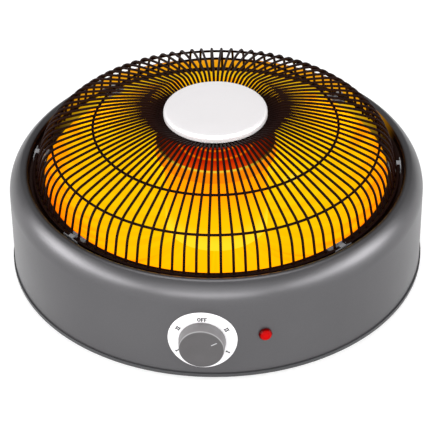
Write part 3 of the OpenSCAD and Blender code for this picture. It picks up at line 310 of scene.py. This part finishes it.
BASE = material("base paint", (58, 58, 60), (50, 50, 52), rough=0.42, bump=0.08)
BLACK = material("guard paint", (26, 6, 2), (18, 3, 1), rough=0.5, bump=0.12, grain=1200.0, specular=0.06)
DISC = material("polished disc", (242, 239, 240), (237, 234, 235), rough=0.28, metal=0.35, bump=0.0,
                rough_spread=0.04)
# The clip steel is painted a little darker than plated steel, as painted shade: the clips sit under the
# casing's crest
CLIP = material("clip steel", (178, 179, 182), (165, 166, 169), rough=0.3, metal=0.6, bump=0.05)
ZINC = material("zinc plated steel", (190, 192, 196), (160, 162, 166), rough=0.34, metal=0.9, patch=60.0)
RUBBER = material("foot rubber", (34, 34, 35), (26, 26, 27), rough=0.75, bump=0.3, patch=80.0)
SHIELD = material("shield sheet", (196, 198, 202), (176, 178, 182), rough=0.35, metal=0.9, patch=20.0)
FELT = material("mineral felt", (226, 220, 204), (205, 198, 180), rough=0.95, bump=0.9, patch=60.0,
                grain=700.0)
CERAMIC = material("steatite", (236, 232, 222), (224, 219, 206), rough=0.55, bump=0.15, patch=50.0)
CUTOUT = material("cut-out ceramic", (222, 214, 196), (208, 199, 180), rough=0.5, bump=0.15, patch=80.0)
SHEATH = material("element sheath", (150, 82, 58), (110, 56, 40), rough=0.5, metal=0.5, patch=60.0, bump=0.2)
WHITE = material("dial enamel", (244, 242, 244), (239, 237, 239), bump=0.03, patch=40.0, specular=0.3)
MARKS = material("dial ink", (8, 8, 9), (14, 14, 15), rough=0.6, bump=0.05, patch=300.0, specular=0.2)
POINTER = material("pointer paint", (168, 168, 170), (156, 156, 158), rough=0.5, bump=0.1, patch=300.0)
SWITCH = material("switch plastic", (38, 38, 40), (30, 30, 32), rough=0.45, bump=0.15, patch=90.0)
CAM = material("cam plastic", (196, 86, 60), (176, 72, 50), rough=0.45, bump=0.1, patch=90.0)
BRASS = material("brass", (214, 178, 104), (190, 150, 80), rough=0.3, metal=1.0, patch=90.0)
IVORY = material("terminal plastic", (238, 234, 220), (228, 222, 206), rough=0.45, bump=0.1, patch=80.0)
GLAND = material("gland plastic", (36, 36, 38), (28, 28, 30), rough=0.4, bump=0.12, patch=90.0)
LEADS = {"brown": (118, 70, 40), "black": (38, 38, 38), "red": (170, 40, 32), "blue": (48, 86, 170),
         "white": (226, 226, 222), "green": (70, 150, 58)}
LEAD = {k: material("lead " + k, c, rough=0.5, bump=0.2, patch=200.0) for k, c in LEADS.items()}


def casing_material():
    m = material("casing paint", (92, 91, 93), (86, 85, 87), rough=0.34, metal=0.8, bump=0.05, patch=9.0,
                 grain=700.0, rough_spread=0.05)
    # The throat and the lip are painted a dark red-brown, as painted shade inside the crest. At the rear they
    # carry painted glow of the heater's light, and so does the crest's inner slope: the edge between painted
    # shade and paint lies further out there.
    glow_outer_r, dark_r, rear_widening = CREST_AT + 1.6, CREST_AT - 3.4, 4.5
    xyz = axes(m, object_point(m))
    r = distance(m, xyz[0], xyz[1])
    inner, outer = LIP_R * MM, glow_outer_r * MM
    value = math_node(m, "MULTIPLY_ADD", r, 1 / (outer - inner), -inner / (outer - inner))
    # Painted glow, with a dark red band at the guard's base ring as its painted shadow
    ramp = glow_ramp(m, ((0.0, (255, 206, 10)), (0.44, (255, 190, 8)), (0.54, (150, 50, 4)),
                         (0.64, (250, 170, 6)), (0.9, (250, 165, 4)), (1.0, (200, 100, 4))),
                     0.9, value, "LINEAR")
    back = math_node(m, "DIVIDE", xyz[1], r)
    edge = math_node(m, "MULTIPLY_ADD", span(m, back, 0.55, 0.9), rear_widening * MM, dark_r * MM)
    inside = span(m, math_node(m, "SUBTRACT", r, edge), 0.6 * MM, -0.4 * MM)
    lit = math_node(m, "MULTIPLY", span(m, back, 0.3, 0.75), inside)
    glow = mixed(m, lit, (0.0, 0.0, 0.0, 1.0), ramp.outputs[0])
    paint = shader(m).inputs["Base Color"].links[0].from_socket
    m.node_tree.links.new(glow, shader(m).inputs["Emission Color"])
    m.node_tree.links.new(mixed(m, inside, paint, linear((42, 16, 6))), shader(m).inputs["Base Color"])
    return m


# Painted reflection: an orange tint on what the metal round the heater mirrors, standing in for the glow
GLOW_MIRROR_TINT = (1.0, 0.45, 0.0, 1.0)


def dish_material():
    # The orange colour and the emission are painted glow of the heater's light on the reflector
    m = material("dish with painted glow", (190, 96, 0), (170, 80, 0), rough=0.3, metal=1.0, patch=8.0, bump=0.05)
    shader(m).inputs["Specular Tint"].default_value = GLOW_MIRROR_TINT
    point = object_point(m)
    xyz = axes(m, point)
    # Painted glow: brightness falls with height up the dish and towards the front, in radial streaks, with a
    # few painted bright reflections
    angle = math_node(m, "ARCTAN2", xyz[0], xyz[1])
    streak = m.node_tree.nodes.new("ShaderNodeTexNoise")
    streak.noise_dimensions = "2D"
    streak.inputs["Scale"].default_value = 1.0
    streak.inputs["Detail"].default_value = 4.0
    vec = m.node_tree.nodes.new("ShaderNodeCombineXYZ")
    m.node_tree.links.new(math_node(m, "MULTIPLY", angle, 9.0), vec.inputs[0])
    m.node_tree.links.new(math_node(m, "MULTIPLY", xyz[2], 16.0), vec.inputs[1])
    m.node_tree.links.new(vec.outputs[0], streak.inputs["Vector"])
    height = math_node(m, "MULTIPLY_ADD", xyz[2], -7.0, 1.0)
    side = math_node(m, "MULTIPLY_ADD", xyz[1], 1.5, height)
    value = math_node(m, "MULTIPLY_ADD", streak.outputs[0], 0.6, side)
    for centre, size, amount in (((-118, 92, 72), 15, 0.25), ((72, 68, 38), 17, 0.2),
                                 ((104, 76, 46), 16, 0.2), ((-130, 10, 56), 40, 0.12),
                                 ((10, -150, 86), 46, 0.15)):
        value = math_node(m, "MULTIPLY_ADD", spot(m, point, centre, size), amount, value)
    glow_ramp(m, ((0.0, (170, 40, 0)), (0.28, (255, 112, 0)), (0.46, (255, 160, 0)), (0.64, (255, 202, 0)),
                  (0.86, (255, 216, 4)), (1.0, (255, 236, 70))), 0.88, math_node(m, "MULTIPLY", value, 0.71))
    return m


def drum_material():
    # The orange colour and the emission are painted glow of the heater's light
    m = material("drum with painted glow", (180, 80, 0), (160, 66, 0), rough=0.4, metal=1.0, patch=10.0, bump=0.05)
    shader(m).inputs["Specular Tint"].default_value = GLOW_MIRROR_TINT
    # Painted glow of the heater's light, brightest at the foot of the drum
    low = math_node(m, "MULTIPLY_ADD", axes(m, object_point(m))[2], -10.0, 1.4)
    glow_ramp(m, ((0.0, (252, 120, 0)), (0.35, (255, 170, 0)), (0.75, (255, 206, 0)), (1.0, (255, 236, 40))),
              0.9, low)
    return m


def cap_material():
    m = material("cap with painted glow", (96, 10, 0), (80, 6, 0), rough=0.45, metal=0.8, patch=30.0, bump=0.1)
    shader(m).inputs["Specular Tint"].default_value = GLOW_MIRROR_TINT
    xyz = axes(m, object_point(m))
    # Painted light: the top is dark red with painted highlights on its two steps, a painted highlight on the
    # edge and painted glow on the skirt
    value = math_node(m, "MULTIPLY", distance(m, xyz[0], xyz[1]), 1 / ((LID_R + 0.2) * MM))
    ramp = glow_ramp(m, ((0.0, (120, 12, 0)), (0.40, (170, 24, 0)), (0.415, (250, 110, 0)),
                         (0.445, (196, 34, 0)), (0.60, (215, 44, 0)), (0.625, (252, 120, 0)),
                         (0.665, (206, 38, 0)), (0.92, (240, 70, 0)), (0.965, (255, 226, 60)),
                         (1.0, (255, 142, 0))), 0.85, value)
    # Painted shade: the sides of the top fall off to near black
    off = math_node(m, "DIVIDE", math_node(m, "ABSOLUTE", xyz[0]), LID_R * MM)
    side_shade = math_node(m, "MULTIPLY", span(m, off, 0.35, 1.0), span(m, value, 0.995, 0.97))
    glow = mixed(m, math_node(m, "SUBTRACT", 1.0, side_shade), linear((34, 6, 0)), ramp.outputs[0])
    m.node_tree.links.new(glow, shader(m).inputs["Emission Color"])
    return m


CASING, DISH, DRUM, CAP = casing_material(), dish_material(), drum_material(), cap_material()


def lens_material():
    m = material("red lens", (50, 0, 0), (42, 0, 0), rough=0.2, bump=0.0, patch=200.0, specular=0.05)
    # The bulb shines from just above the middle of the lens
    a, r = math.radians(LAMP_A), LAMP_SEAT + 3.55
    value = spot(m, object_point(m), (math.sin(a) * r, -math.cos(a) * r, LAMP_Z + 0.4), 7.4)
    glow_ramp(m, ((0.0, (60, 0, 0)), (0.12, (90, 0, 0)), (0.34, (205, 0, 0)), (1.0, (228, 0, 2))), 0.9, value)
    return m


def knob_material():
    m = material("knob plastic", (82, 80, 81), (78, 76, 77), rough=0.45, bump=0.04, patch=60.0, grain=1600.0,
                 specular=0.3)
    # Painted highlight on the turned edge of the face, and a painted reflection that makes the side lighter
    # than the face, most of all next to the face
    xyz = axes(m, object_point(m))
    r = distance(m, xyz[0], math_node(m, "SUBTRACT", xyz[2], CONTROL_Z * MM))
    edge = span(m, r, (KNOB_R - 0.75) * MM, (KNOB_R - 0.45) * MM, False)
    front = span(m, xyz[1], -(KNOB_FACE - 0.9) * MM, -(KNOB_FACE - 1.3) * MM, False)
    side = mixed(m, front, linear((140, 138, 139)), linear((108, 106, 107)))
    face = shader(m).inputs["Base Color"].links[0].from_socket
    m.node_tree.links.new(mixed(m, edge, face, side), shader(m).inputs["Base Color"])
    return m


LENS, KNOB = lens_material(), knob_material()


# Meshes

def mesh_piece(name, verts, faces, mat, slot, replaces=(), body="root", sharp=35.0):
    """A piece from points in millimetres, on its body, for the CAD nodes that it replaces; its slot is not
    used.
    """
    me = bpy.data.meshes.new(name)
    me.from_pydata([[c * MM for c in v] for v in verts], [], faces)
    me.validate()
    me.materials.append(mat)
    ob = bpy.data.objects.new(name, me)
    bpy.context.scene.collection.objects.link(ob)
    me.shade_smooth()
    me.set_sharp_from_angle(angle=math.radians(sharp))
    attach(ob, body)
    if replaces:
        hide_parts(*replaces)


def arc(cx, cz, r, a0, a1, n):
    """Points of an arc in n steps, with its angles in degrees."""
    return [(cx + r * math.cos(math.radians(a0 + (a1 - a0) * i / n)),
             cz + r * math.sin(math.radians(a0 + (a1 - a0) * i / n))) for i in range(n + 1)]


def rounded(points, radii, steps=4):
    """A closed profile with its corners rounded, by one radius per point."""
    out, n = [], len(points)
    for i, (p, r) in enumerate(zip(points, radii)):
        if r <= 0:
            out.append(p)
            continue
        a, b, c = Vector(points[i - 1]), Vector(p), Vector(points[(i + 1) % n])
        u, v = (a - b), (c - b)
        r = min(r, u.length * 0.45, v.length * 0.45)
        u, v = u.normalized() * r, v.normalized() * r
        for k in range(steps + 1):
            t = k / steps
            q = (1 - t) ** 2 * (b + u) + 2 * t * (1 - t) * b + t ** 2 * (b + v)
            out.append((q.x, q.y))
    return out


def lathe_mesh(profile, segments, closed=True):
    """Verts and faces of a profile (r, z) turned round Z; points on the axis become one vertex."""
    verts, rows, faces = [], [], []
    for r, z in profile:
        if r < 1e-6:
            rows.append([len(verts)] * segments)
            verts.append((0, 0, z))
        else:
            rows.append(list(range(len(verts), len(verts) + segments)))
            verts += [(r * math.cos(2 * math.pi * j / segments), r * math.sin(2 * math.pi * j / segments), z)
                      for j in range(segments)]
    pairs = list(zip(rows, rows[1:] + rows[:1])) if closed else list(zip(rows, rows[1:]))
    for a, b in pairs:
        for j in range(segments):
            k = (j + 1) % segments
            f = []
            for v in (a[j], a[k], b[k], b[j]):
                if v not in f:
                    f.append(v)
            if len(f) > 2:
                faces.append(f)
    return verts, faces


def lathe(name, profile, mat, slot, replaces=(), segments=192, body="root", closed=True, place=None,
          sharp=35.0):
    """A turned piece, set in its place where it doesn't stand on the axis."""
    verts, faces = lathe_mesh(profile, segments, closed)
    if place:
        verts = [tuple(place @ Vector(v)) for v in verts]
    mesh_piece(name, verts, faces, mat, slot, replaces, body, sharp)


def on_wall(angle, z):
    """Turns +Z outwards through the wall at an angle from the front, with its origin on the axis."""
    return (Matrix.Translation((0, 0, z)) @ Matrix.Rotation(math.radians(angle), 4, "Z")
            @ Matrix.Rotation(math.radians(90), 4, "X"))


def tube_mesh(points, r, sides):
    """A closed tube along points of the plane y = 0."""
    pts = [Vector(p) for p in points]
    n = len(pts)
    side = Vector((0, 1, 0))
    verts, faces = [], []
    for i, p in enumerate(pts):
        t = (pts[min(i + 1, n - 1)] - pts[max(i - 1, 0)]).normalized()
        side = (side - side.dot(t) * t).normalized()
        up = t.cross(side)
        for j in range(sides):
            a = 2 * math.pi * j / sides
            verts.append(tuple(p + r * (math.cos(a) * side + math.sin(a) * up)))
    for i in range(n - 1):
        for j in range(sides):
            a, b = i * sides, (i + 1) * sides
            k = (j + 1) % sides
            faces.append((a + j, a + k, b + k, b + j))
    faces.append(tuple(range(sides))[::-1])
    faces.append(tuple((n - 1) * sides + j for j in range(sides)))
    return verts, faces


def joined(parts):
    """Several parts as one list of points and one of faces."""
    verts, faces = [], []
    for v, f in parts:
        faces += [tuple(i + len(verts) for i in q) for q in f]
        verts += v
    return verts, faces


def turned(part, angle):
    """A part drawn on +X, turned to an angle counted from the front."""
    c, s = math.cos(math.radians(angle - 90)), math.sin(math.radians(angle - 90))
    return [(c * x - s * y, s * x + c * y, z) for x, y, z in part[0]], part[1]


# Casing

def make_casing():
    top = CREST_Z - CREST_R - (SHOULDER_R - CREST_R) * math.sin(math.radians(SHOULDER_A))
    sx = CASING_R - SHOULDER_R
    cx = sx + (SHOULDER_R - CREST_R) * math.cos(math.radians(SHOULDER_A))
    cz = CREST_Z - CREST_R
    throat = cx - CREST_R
    # The wall's lowest part has three rows, and one long row up to the shoulder follows
    rows, low_h = 3, 30
    outer = ([(CASING_R, CASING_FOOT + low_h * k / rows) for k in range(rows + 1)]
             + arc(sx, top, SHOULDER_R, 0, SHOULDER_A, 28) + arc(cx, cz, CREST_R, SHOULDER_A, 180, 20)[1:])
    t = CASING_T
    lip = (arc(throat - LIP_BEND_R, LIP_Z + LIP_BEND_R, LIP_BEND_R, 0, -90, 4)[1:]
           + [(LIP_R, LIP_Z), (LIP_R, LIP_Z - t)])
    inner = ([(throat + t, LIP_Z - t)] + arc(cx, cz, CREST_R - t, 180, SHOULDER_A, 16)
             + arc(sx, top, SHOULDER_R - t, SHOULDER_A, 0, 20)[1:] + [(CASING_R - t, CASING_FOOT)])
    lathe("casing_shell", outer + lip + inner, CASING, "casing_grey", ("outer_casing",), 256)


make_casing()


# Guard

def guard_line():
    """The bent wire in its own plane, and the places of the two rings under it."""
    def ahead(h):
        return Vector((math.cos(math.radians(h)), math.sin(math.radians(h))))
    foot = Vector(WIRE_FOOT)
    leg_h, out_h, in_h, dip_h = 90 + LEG_LEAN, 180 - CROWN_OUT_A, 180 - CROWN_IN_A, 180 + DIP_A
    top = foot + LEG_L * ahead(leg_h)
    bend_c = top + BEND_R * ahead(leg_h + 90)
    bend_end = bend_c + BEND_R * ahead(out_h - 90)
    crown_r = (CROWN_END_R - bend_end.x) / (ahead(in_h - 90).x - ahead(out_h - 90).x)
    crown_c = bend_end + crown_r * ahead(out_h + 90)
    crown_end = crown_c + crown_r * ahead(in_h - 90)
    dip_c = crown_end + DIP_R * ahead(in_h + 90)
    dip_end = dip_c + DIP_R * ahead(dip_h - 90)
    last = dip_end + (dip_end.x - WIRE_END_R) / math.cos(math.radians(DIP_A)) * ahead(dip_h)
    line = [foot, foot.lerp(top, 0.5), top]
    for c, r, h0, h1, n in ((bend_c, BEND_R, leg_h, out_h, 12), (crown_c, crown_r, out_h, in_h, 10),
                            (dip_c, DIP_R, in_h, dip_h, 8)):
        line += [c + r * ahead(h0 - 90 + (h1 - h0) * i / n) for i in range(1, n + 1)]
    line.append(last)
    drop = WIRE_R + RING_D / 2 - RING_WELD
    outer = bend_c + (BEND_R - drop) * ahead(OUTER_RING_A)
    ring_a = math.degrees(math.acos((INNER_RING_R - crown_c.x) / (crown_r - drop)))
    inner = crown_c + (crown_r - drop) * ahead(ring_a)
    return line, outer, inner


def make_guard():
    line, outer_ring, inner_ring = guard_line()
    wire = tube_mesh([(p.x, 0, p.y) for p in line], WIRE_R + WIRE_EXTRA_R, 10)
    # Each wire strays a little from its place
    wires = [turned(wire, WIRE_TURN + i * 360 / WIRES + rng.uniform(-WIRE_STRAY, WIRE_STRAY))
             for i in range(WIRES)]
    mesh_piece("guard_wire_set", *joined(wires), BLACK, "guard_black", ("guard_wires",))
    sides = 14
    for name, node, (r, z, d) in (("guard_ring_base", "guard_base_ring", BASE_RING),
                                  ("guard_ring_outer", "guard_outer_ring", (*outer_ring, RING_D)),
                                  ("guard_ring_inner", "guard_inner_ring", (*inner_ring, RING_D))):
        section = arc(r, z, d / 2, 0, 360 - 360 / sides, sides - 1)
        lathe(name, section, BLACK, "guard_black", (node,), 240, sharp=80)


make_guard()


def make_disc():
    low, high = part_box("centre_disc")
    low, top = low[2] / MM, high[2] / MM
    skirt, corner, sheet, hem_r, stud_r, chamfer = 7.0, 3.5, 1.0, 0.35, 2.5, 0.4
    foot, corner_at, corner_z = top - skirt, DISC_R - corner, top - corner
    profile = ([(0, top), (20, top)] + arc(corner_at, corner_z, corner, 90, 0, 10) + [(DISC_R, foot + 0.3)]
               + arc(DISC_R - sheet / 2, foot + hem_r, hem_r, 0, -180, 4) + [(DISC_R - sheet, foot + 0.5)]
               + arc(corner_at, corner_z, corner - sheet, 0, 90, 6)
               + [(stud_r, top - sheet), (stud_r, low + chamfer), (stud_r - chamfer, low), (0, low)])
    lathe("disc_cover", profile, DISC, "disc_steel", ("centre_disc",), 160, closed=False)


make_disc()


# Reflector dish, drum and cap

def make_dish():
    rim_z, rim_in, rim_out, t, hole_r = 96.95, 164.1, 179.1, 0.8, 6
    rise, run = rim_z - DISH_Z, rim_in - DISH_FLOOR_R
    bowl = (run * run + rise * rise) / (2 * rise)
    cz = DISH_Z + bowl
    end = math.degrees(math.asin((rim_z - cz) / bowl))
    profile = ([(hole_r, DISH_Z), (DISH_FLOOR_R / 2, DISH_Z)] + arc(DISH_FLOOR_R, cz, bowl, -90, end, 36)
               + [(rim_out, rim_z), (rim_out, rim_z - t)] + arc(DISH_FLOOR_R, cz, bowl + t, end, -90, 30)
               + [(hole_r, DISH_Z - t)])
    lathe("dish_bowl", profile, DISH, "reflector_metal", ("reflector_dish",), 192)


make_dish()


def make_drum():
    low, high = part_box("radiant_drum")
    z0, z1, sheet, edge_r = low[2] / MM, high[2] / MM, 1, 0.3
    profile = [(DRUM_R, z0), (DRUM_R, z1), (DRUM_R - sheet, z1), (DRUM_R - sheet, z0)]
    lathe("drum_wall", rounded(profile, [edge_r] * 4, 2), DRUM, "drum_metal", ("radiant_drum",), 128)


make_drum()


def make_lid():
    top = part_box("drum_cap")[1][2] / MM
    sheet, step, skirt, hole_r, seat_r = 1, 1.2, 12.6, 3.05, 12
    under = top - 3.4
    foot = under + sheet - skirt
    # Two pressed steps, the edge, the skirt, and the seat round the tie rod
    profile = [(hole_r, top), (23.8, top), (24.6, top - step), (35.2, top - step), (36.4, top - 2 * step),
               (LID_R, top - 2 * step), (LID_R, foot), (LID_R - sheet, foot), (LID_R - sheet, under),
               (seat_r, under), (seat_r, under + step), (hole_r, under + step)]
    radii = [0, 0.6, 0.6, 0.6, 0.6, 2.2, 0.4, 0.4, 1.2, 0, 0, 0]
    lathe("drum_lid", rounded(profile, radii), CAP, "cap_metal", ("drum_cap",), 128)


make_lid()


# Controls

def stroke(points, w):
    """A flat stroke of the width w through 2-D points."""
    verts, n = [], len(points)
    for i, p in enumerate(points):
        a, b = Vector(points[max(i - 1, 0)]), Vector(points[min(i + 1, n - 1)])
        d = (b - a).normalized()
        q = Vector((-d.y, d.x)) * w / 2
        verts += [(p[0] - q.x, p[1] - q.y), (p[0] + q.x, p[1] + q.y)]
    return verts, [(2 * i, 2 * i + 1, 2 * i + 3, 2 * i + 2) for i in range(n - 1)]


def numeral(count, h, bold):
    """I or II with a bar across each end, and its width."""
    step = bold * 1.75
    wide = bold * 1.9 + (count - 1) * step
    stems = [stroke([(x, 0), (x, h)], bold) for x in (bold * 0.95 + i * step for i in range(count))]
    return stems + [stroke([(0, z), (wide, z)], bold * 0.7) for z in (bold * 0.35, h - bold * 0.35)], wide


def letter(kind, h, w, bold):
    """O or F as flat strokes."""
    if kind == "O":
        turns = [2 * math.pi * k / 20 for k in range(21)]
        return [stroke([(w / 2 + (w - bold) / 2 * math.cos(a), h / 2 + (h - bold) / 2 * math.sin(a))
                        for a in turns], bold)]
    stem, top = [(bold / 2, 0), (bold / 2, h)], [(bold, h - bold / 2), (w, h - bold / 2)]
    middle = [(bold, h * 0.48), (w * 0.88, h * 0.48)]
    return [stroke(stem, bold), stroke(top, bold), stroke(middle, bold * 0.9)]


def word(h, bold):
    """OFF as flat strokes, and its width."""
    strokes = [([(x + ahead, y) for x, y in verts], faces)
               for kind, w, ahead in (("O", 3.2, 0.0), ("F", 2.5, 3.55), ("F", 2.5, 6.3))
               for verts, faces in letter(kind, h, w, bold)]
    return strokes, 8.7


def make_plate():
    """The plate's face, turned edge and back, all bent round the casing's wall."""
    segs = 96
    outline = [(4.6, 0), (12, 0), (20, 0), (27, 0), (30.6, 0), (31.3, -0.08), (31.65, -0.45), (31.65, -1.0),
               (31.3, -1.2), (4.6, -1.2)]
    verts, faces = [], []
    for r, lift in outline:
        for j in range(segs):
            u, v = r * math.cos(2 * math.pi * j / segs), r * math.sin(2 * math.pi * j / segs)
            verts.append((u, -math.sqrt((PLATE_FACE + lift) ** 2 - u * u), CONTROL_Z + v))
    for i in range(len(outline)):
        for j in range(segs):
            k, a, b = (j + 1) % segs, i * segs, ((i + 1) % len(outline)) * segs
            faces.append((a + j, b + j, b + k, a + k))
    mesh_piece("dial_face", verts, faces, WHITE, "dial_white", ("dial_plate",), sharp=50)


make_plate()


def make_marks():
    """OFF, II and I, read from the knob's axis outwards: each with its height, its radius and its angles."""
    ink, parts = PLATE_FACE + 0.06, []
    for (strokes, width), h, r, angles in ((word(4.5, 0.95), 4.5, 24.2, (90,)),
                                           (numeral(2, 3.9, 1.15), 3.9, 25.4, (30, 150)),
                                           (numeral(1, 3.9, 1.15), 3.9, 26.6, (-30, 210))):
        for at in angles:
            up = Vector((math.cos(math.radians(at)), math.sin(math.radians(at))))
            across = Vector((up.y, -up.x))
            for verts, faces in strokes:
                flat = [across * (x - width / 2) + up * (y + r - h / 2) for x, y in verts]
                parts.append(([(q.x, -math.sqrt(ink ** 2 - q.x ** 2), CONTROL_Z + q.y) for q in flat], faces))
    mesh_piece("dial_marks", *joined(parts), MARKS, "dial_white", (), sharp=80)


make_marks()


def make_knob():
    back, face, r, foot_r = 202.0, KNOB_FACE, KNOB_R, 21.6
    inside_r, roof, boss_r, bore_r, bore_end = r - 1.6, face - 2.6, 6.5, 3.05, back + 9.4
    # The turned edge of the face: in from the rim, down from the face
    edge = [(r - a, face - b) for a, b in ((1.5, 0), (0.9, 0.08), (0.45, 0.3), (0.12, 0.7), (0, 1.2))]
    profile = ([(0, face)] + edge
               + [(foot_r, back + 0.4), (foot_r - 0.3, back), (inside_r, back), (inside_r, roof),
                  (boss_r, roof), (boss_r, back), (bore_r, back), (bore_r, bore_end), (0, bore_end)])
    lathe("knob_cap", profile, KNOB, "knob_grey", ("knob",), 96, "knob_body", closed=False,
          place=on_wall(0, CONTROL_Z), sharp=50)


make_knob()


def make_pointer():
    """A small raised line with round ends, in three rings of points from its foot up."""
    place, turn, n = on_wall(0, CONTROL_Z), math.radians(30), 16
    half_l, half_w, middle_r, chamfer = 3.1, 0.55, 13.2, 0.12
    foot, top = KNOB_FACE - 0.5, KNOB_FACE + 0.12
    verts = []
    for z, grow in ((foot, 0), (top - 0.1, 0), (top, -chamfer)):
        for k in range(n):
            t = 2 * math.pi * k / n
            u = (half_l - half_w) * (1 if math.cos(t) > 0 else -1) + (half_w + grow) * math.cos(t) + middle_r
            v = (half_w + grow) * math.sin(t)
            x = u * math.cos(turn) - v * math.sin(turn)
            y = u * math.sin(turn) + v * math.cos(turn)
            verts.append(tuple(place @ Vector((x, y, z))))
    faces = [(i * n + k, i * n + (k + 1) % n, (i + 1) * n + (k + 1) % n, (i + 1) * n + k)
             for i in range(2) for k in range(n)]
    faces += [tuple(range(n - 1, -1, -1)), tuple(range(2 * n, 3 * n))]
    mesh_piece("knob_line", verts, faces, POINTER, "pointer_grey", ("knob_pointer",), "knob_body")


make_pointer()


def make_lens():
    place, sides, stem_r, stem_l = on_wall(LAMP_A, LAMP_Z), 12, 3.3, 6
    dome = [(r, LAMP_SEAT + z)
            for r, z in ((6.3, 0), (6.3, 1.6), (5.6, 2.4), (5.2, 3.3), (3.8, 4.4), (0, 4.4))]
    verts, faces = lathe_mesh([(stem_r, LAMP_SEAT - stem_l), (stem_r, LAMP_SEAT)] + dome, sides, False)
    verts = [tuple(place @ Vector(v)) for v in verts]
    faces.append(tuple(range(sides - 1, -1, -1)))
    mesh_piece("lamp_jewel", verts, faces, LENS, "lamp_red", ("lamp_lens",), sharp=12)


make_lens()


# Materials of the CAD pieces that stay as they are

CAD_MATERIALS = {
    BASE: ("base_plate",), BLACK: ("guard_hub_plate",), CLIP: ("guard_clips", "clip_screws"),
    ZINC: ("base_lugs", "base_screws", "foot_screws", "centre_disc_nut", "shield_pillars", "tie_rod",
           "tie_rod_nuts", "cutout_screws", "switch_shaft", "switch_screws", "lamp_nut", "terminal_screws",
           "terminal_block_screw"),
    RUBBER: ("rubber_feet",), FELT: ("insulation_disc",), SHIELD: ("heat_shield",),
    CERAMIC: ("ceramic_base", "ceramic_core", "ceramic_bushes"), SHEATH: ("lower_element", "upper_element"),
    CUTOUT: ("thermal_cutout",), CAM: ("switch_cam",), SWITCH: ("switch_body", "switch_cover", "lamp_body"),
    BRASS: ("switch_contacts", "lamp_tabs", "push_on_connectors", "earth_stud", "earth_nut"),
    IVORY: ("terminal_block",),
    GLAND: ("inlet_gland", "gland_nut", "gland_locknut"), POINTER: ("lamp_bulb",),
    LEAD["brown"]: ("live_lead", "switch_lead"), LEAD["black"]: ("low_heat_lead",),
    LEAD["red"]: ("high_heat_lead",), LEAD["blue"]: ("neutral_leads",), LEAD["white"]: ("lamp_leads",),
    LEAD["green"]: ("earth_lead",)}
for mat, names in CAD_MATERIALS.items():
    for name in names:
        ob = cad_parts[name]
        ob.data.materials.clear()
        ob.data.materials.append(mat)


# Floor and light

def make_stage():
    me = bpy.data.meshes.new("floor")
    corners = [(x * FLOOR_HALF, y * FLOOR_HALF, 0) for x, y in ((-1, -1), (1, -1), (1, 1), (-1, 1))]
    me.from_pydata(corners, [], [(0, 1, 2, 3)])
    m = bpy.data.materials.new("floor")
    m.use_nodes = True
    n, l = m.node_tree.nodes, m.node_tree.links
    bsdf = n["Principled BSDF"]
    bsdf.inputs["Base Color"].default_value = (0.5, 0.5, 0.5, 1)
    bsdf.inputs["Roughness"].default_value = 0.9
    bsdf.inputs["Specular IOR Level"].default_value = 0.0
    # What the camera and metal see of the floor is brighter than what lights the heater
    path, seen, lift = n.new("ShaderNodeLightPath"), n.new("ShaderNodeMath"), n.new("ShaderNodeMath")
    glow, both = n.new("ShaderNodeEmission"), n.new("ShaderNodeAddShader")
    seen.operation = "MAXIMUM"
    l.new(path.outputs["Is Camera Ray"], seen.inputs[0])
    l.new(path.outputs["Is Glossy Ray"], seen.inputs[1])
    lift.operation = "MULTIPLY"
    lift.inputs[1].default_value = FLOOR_LIFT
    l.new(seen.outputs[0], lift.inputs[0])
    l.new(lift.outputs[0], glow.inputs["Strength"])
    l.new(bsdf.outputs[0], both.inputs[0])
    l.new(glow.outputs[0], both.inputs[1])
    l.new(both.outputs[0], n["Material Output"].inputs["Surface"])
    me.materials.append(m)
    ob = bpy.data.objects.new("floor", me)
    bpy.context.scene.collection.objects.link(ob)


def area(name, place, target_z, width, height, power):
    """A rectangular light that faces a point on the heater's axis."""
    d = bpy.data.lights.new(name, "AREA")
    d.shape, d.size, d.size_y, d.energy = "RECTANGLE", width, height, power
    ob = bpy.data.objects.new(name, d)
    ob.location = place
    ob.rotation_euler = (Vector((0, 0, target_z)) - Vector(place)).to_track_quat("-Z", "Y").to_euler()
    bpy.context.scene.collection.objects.link(ob)


def make_light():
    world = bpy.data.worlds.new("world")
    world.use_nodes = True
    bpy.context.scene.world = world
    n, l = world.node_tree.nodes, world.node_tree.links
    tc, sep, ramp = n.new("ShaderNodeTexCoord"), n.new("ShaderNodeSeparateXYZ"), n.new("ShaderNodeValToRGB")
    l.new(tc.outputs["Generated"], sep.inputs[0])
    l.new(sep.outputs[2], ramp.inputs[0])
    e = ramp.color_ramp.elements
    e[0].position, e[0].color = 0.0, (0.95, 0.95, 0.95, 1)
    e[1].position, e[1].color = 1.0, (0.70, 0.70, 0.71, 1)
    l.new(ramp.outputs[0], n["Background"].inputs["Color"])
    n["Background"].inputs["Strength"].default_value = WORLD_STRENGTH
    for light in LIGHTS:
        area(*light)


make_stage()
make_light()
scene = bpy.context.scene
scene.view_settings.view_transform = "Standard"
scene.view_settings.look = "None"
scene.view_settings.exposure = 0.0
scene.view_settings.gamma = 1.0
